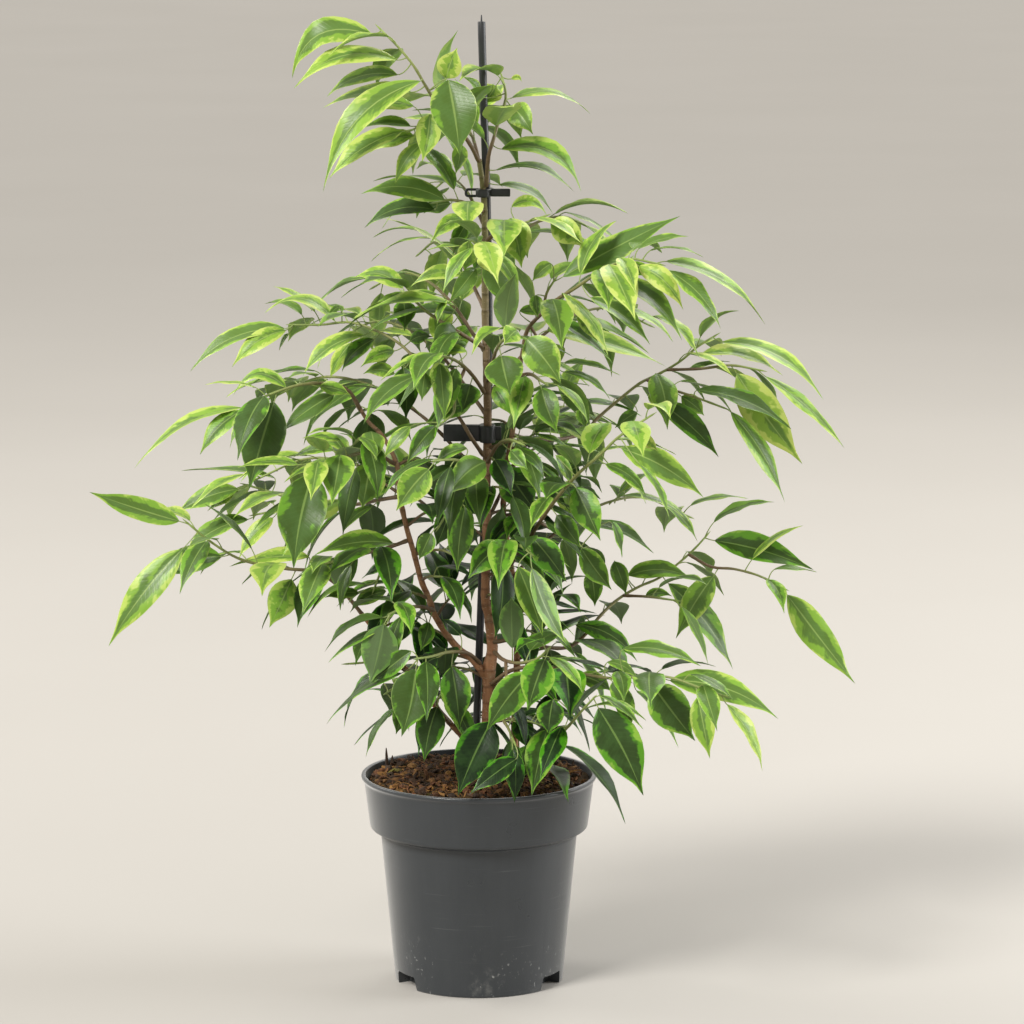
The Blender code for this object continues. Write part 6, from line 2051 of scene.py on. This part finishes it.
def inner_plug(material):
    """A solid that fills the pot's foot up to the middle of its wall."""
    slope = (BODY_RADIUS - FOOT_RADIUS) / (POT_HEIGHT - COLLAR_HEIGHT)
    reach = FOOT_RADIUS - WALL / 2
    wider = reach + slope * (PLUG_HIGH - PLUG_LOW)
    plug = [(0.0, PLUG_LOW), (reach, PLUG_LOW), (wider, PLUG_HIGH), (0.0, PLUG_HIGH)]
    return solid_from(*turned(plug, POT_SIDES), material)


# Soil

SOIL_SIDES = 120
SOIL_RINGS = 44
SOIL_EDGE = 98.2
SOIL_SHARP_ANGLE = 30.0
TOP_LIFT = 0.7

# Clods of the soil's top, each a noise: waves per millimetre, and height
CLODS = [(0.05, 2.6), (0.13, 3.0), (0.36, 1.6)]

# The top rises a little towards the pot's wall
EDGE_RISE = 2.6
EDGE_FROM = 76.0
EDGE_BLUR = 16.0

# How many pieces lie on the soil, and what is drawn for each: sizes, and proportions
LUMP_COUNT = 900
LUMP_SIZES = (1.1, 3.9)
LUMP_SHRINK = (0.7, 1.0)
LUMP_SIDES = 7
LUMP_RINGS = [(-0.8, 0.55), (-0.25, 1.0), (0.3, 0.95), (0.8, 0.5)]
LUMP_UNEVEN = (0.60, 1.25)
LUMP_TILT = 0.5
LUMP_ROOM = 0.5
LUMP_LONG = (1.0, 1.7)
LUMP_TALL = (0.5, 0.9)
LUMP_SLANT = (-0.12, 0.12)
LUMP_LIFT = 0.3
LUMP_SHADE_POWER = 1.8
PIECE_ROLL = (-0.8, 0.8)
CHIP_COUNT = 900
CHIP_LENGTHS = (3.0, 12.0)
CHIP_SLENDER = (0.12, 0.34)
CHIP_TILT = 0.55
CHIP_ROOM = 1.0
CHIP_LIFT = 0.6
CHIP_SHADE_POWER = 1.5
SPLINTER_RINGS = [(-0.5, 0.5), (-0.22, 1.0), (0.18, 0.9), (0.5, 0.35)]
SPLINTER_CORNERS = [(-1, -1), (1, -1), (1, 1), (-1, 1)]
SPLINTER_FLATNESS = (0.35, 0.7)
SPLINTER_UNEVEN = (0.75, 1.2)
SPLINTER_BEND = (-0.05, 0.05)
FIBRE_COUNT = 240
FIBRE_LENGTHS = (7.0, 24.0)
FIBRE_HEIGHTS = (0.5, 4.0)
FIBRE_BEND = (-0.25, 0.25)
FIBRE_TILT = 0.05
FIBRE_ROOM = 2.0
FIBRE_SUNK = 0.2
FIBRE_RADII = (0.18, 0.45)
FIBRE_ENDS = (0.6, 0.4)
FIBRE_SHADES = (0.35, 1.0)
FIBRE_POINTS = 7
FIBRE_SIDES = 5

# Splinters that stand up out of the soil near the rim: (across, back), and how tall
STANDING = [((-83, 43), 19.0), ((-80, 40), 12.0), ((-60, 62), 9.0), ((70, 52), 10.0), ((84, 33), 9.0),
            ((-48, -30), 7.0), ((60, -44), 7.0)]
STANDING_LEAN = (-0.3, 0.3)
STANDING_SLENDER = 0.20
STANDING_SHADE = 0.15
STANDING_SUNK = 2.0


def mound(x, y):
    """Height of the soil's top here."""
    reach = math.hypot(x, y)
    points = sorted(SOIL_MOUND)
    rise = points[-1][1]
    for (low, first), (high, second) in zip(points, points[1:]):
        if reach <= high:
            rise = lerp(first, second, (reach - low) / (high - low))
            break
    place = Vector((x, y, 0.0))
    clods = sum(noise.noise(place * scale) * height for scale, height in CLODS)
    edge = EDGE_RISE * clamped((reach - EDGE_FROM) / EDGE_BLUR)
    return SOIL_LEVEL + rise + clods + TOP_LIFT + edge


def soil_profile():
    """The soil's outline, a little inside the pot's, with fine rings on its top."""
    step = POT_HEIGHT - COLLAR_HEIGHT
    foot = FOOT_RADIUS - WALL
    profile = [
        (0.0, FLOOR_THICKNESS + GAP), (foot - NOTCH_DEPTH - 2.5, FLOOR_THICKNESS + GAP),
        (foot - NOTCH_DEPTH - 0.6, FLOOR_THICKNESS + 6.0),
        (foot - NOTCH_DEPTH + 0.4, NOTCH_HEIGHT + WALL + 1.0),
        (foot + 0.4, NOTCH_HEIGHT + WALL + 3.0), (BODY_RADIUS - WALL - 0.9, step - 2.0),
        (COLLAR_RADIUS - WALL - 2.6, step + 2.4), (COLLAR_RADIUS - WALL - 0.6, step + 4.4),
        (SOIL_EDGE, SOIL_LEVEL - 8.0),
    ]
    for ring in range(SOIL_RINGS):
        profile.append((SOIL_EDGE * (1.0 - ring / SOIL_RINGS), SOIL_LEVEL))
    return profile + [(0.0, SOIL_LEVEL)]


def build_soil(material, chips):
    def lifted(x, y, height):
        return mound(x, y) - SOIL_LEVEL if height == SOIL_LEVEL else 0.0

    shape = Shape()
    verts, faces = turned(soil_profile(), SOIL_SIDES, lifted)
    shape.add([Vector(v) for v in verts], faces)
    draw = random.Random(SEED + 2)
    for k in range(LUMP_COUNT):
        shape.add(*lump(draw), slot=1, shade=draw.random() ** LUMP_SHADE_POWER)
    for k in range(CHIP_COUNT):
        shape.add(*chip(draw), slot=1, shade=draw.random() ** CHIP_SHADE_POWER)
    for k in range(FIBRE_COUNT):
        shape.add(*fibre(draw), slot=1, shade=draw.uniform(*FIBRE_SHADES))
    for (across, back), tall in STANDING:
        spot = Vector((across, back, mound(across, back) - STANDING_SUNK))
        lean = Vector((draw.uniform(*STANDING_LEAN), draw.uniform(*STANDING_LEAN), 1.0)).normalized()
        bar = splinter(draw, spot + lean * tall / 2, lean, tall + STANDING_SUNK, STANDING_SLENDER)
        shape.add(*bar, slot=1, shade=STANDING_SHADE)
    obj = shape.build("soil_bed", [material, chips], SOIL_SHARP_ANGLE)
    finish_piece(obj, "soil", "soil")


def soil_spot(draw, margin):
    reach = (SOIL_EDGE - margin) * math.sqrt(draw.random())
    turn = draw.uniform(0.0, 2 * math.pi)
    x = reach * math.cos(turn)
    y = reach * math.sin(turn)
    return Vector((x, y, mound(x, y)))


def piece_axes(draw, tilt):
    """Ahead, side and face directions of a piece that lies at any turn."""
    turn = draw.uniform(0.0, 2 * math.pi)
    ahead = Vector((math.cos(turn), math.sin(turn), draw.gauss(0.0, tilt))).normalized()
    side = ahead.cross(UP).normalized()
    face = side.cross(ahead)
    return ahead, *turned_pair(side, face, draw.uniform(*PIECE_ROLL))


def lump(draw):
    """A crumb of peat or bark with uneven sides, sunk a third into the soil."""
    size = draw.uniform(*LUMP_SIZES) * draw.uniform(*LUMP_SHRINK)
    spot = soil_spot(draw, size + LUMP_ROOM)
    ahead, side, face = piece_axes(draw, LUMP_TILT)
    long, wide, tall = size * draw.uniform(*LUMP_LONG), size, size * draw.uniform(*LUMP_TALL)
    verts = []
    for along, share in LUMP_RINGS:
        for k in range(LUMP_SIDES):
            turn = 2 * math.pi * k / LUMP_SIDES
            push = share * draw.uniform(*LUMP_UNEVEN)
            verts.append(spot + ahead * (along + draw.uniform(*LUMP_SLANT)) * long
                         + side * (math.cos(turn) * wide * push) + face * (math.sin(turn) * tall * push)
                         + UP * tall * LUMP_LIFT)
    return verts, ring_faces(len(LUMP_RINGS), LUMP_SIDES)


def chip(draw):
    """A chip of bark, half sunk at any angle."""
    length = draw.uniform(*CHIP_LENGTHS)
    ahead = piece_axes(draw, CHIP_TILT)[0]
    spot = soil_spot(draw, length / 2 + CHIP_ROOM) + UP * CHIP_LIFT
    return splinter(draw, spot, ahead, length, draw.uniform(*CHIP_SLENDER))


def splinter(draw, spot, ahead, length, slender):
    """A short uneven bar with slanted ends."""
    side = ahead.orthogonal().normalized()
    side, face = turned_pair(side, side.cross(ahead), draw.uniform(0.0, math.pi))
    wide = length * slender
    thick = wide * draw.uniform(*SPLINTER_FLATNESS)
    verts = []
    for along, share in SPLINTER_RINGS:
        bend = draw.uniform(*SPLINTER_BEND) * length
        for across, up in SPLINTER_CORNERS:
            push = draw.uniform(*SPLINTER_UNEVEN)
            verts.append(spot + ahead * (along * length) + side * (across * wide / 2 * share * push + bend)
                         + face * (up * thick / 2 * share * push))
    return verts, ring_faces(len(SPLINTER_RINGS), len(SPLINTER_CORNERS))


def fibre(draw):
    """A thin root or coir fibre that arches over the soil."""
    length = draw.uniform(*FIBRE_LENGTHS)
    spot = soil_spot(draw, length / 2 + FIBRE_ROOM)
    ahead, side, face = piece_axes(draw, FIBRE_TILT)
    height = draw.uniform(*FIBRE_HEIGHTS)
    bend = draw.uniform(*FIBRE_BEND) * length
    points = []
    for k in range(FIBRE_POINTS):
        t = k / (FIBRE_POINTS - 1)
        arch = math.sin(math.pi * t)
        rise = UP * (height * arch - FIBRE_SUNK)
        points.append(spot + ahead * ((t - 0.5) * length) + side * (bend * arch) + rise)
    thick = draw.uniform(*FIBRE_RADII)
    radii = [thick * FIBRE_ENDS[0]] + [thick] * (FIBRE_POINTS - 2) + [thick * FIBRE_ENDS[1]]
    return tube(points, radii, FIBRE_SIDES)


# The whole plant

def build_all():
    add_camera()
    add_studio()
    add_floor()
    obstacles = place_leaves(fixed_solids())
    shoots = grow_shoots(obstacles)
    add_small_leaves(obstacles)
    take_lone_leaves()
    mark_shown_leaves()
    bark = bark_material()
    foliage = [leaf_material(), twig_material()]
    build_pot(pot_material())
    build_soil(soil_material(), chip_material())
    build_stake(black_material("stake", STAKE_ROUGHNESS))
    clip_black = black_material("clip", CLIP_ROUGHNESS)
    for name in CLIPS:
        build_clip(name, clip_black)
    for name in STEMS:
        build_stem(name, bark)
    draw = random.Random(SEED + 3)
    for item in SPRAYS + shoots:
        build_spray(item, foliage, draw)


build_all()
bpy.context.view_layer.update()
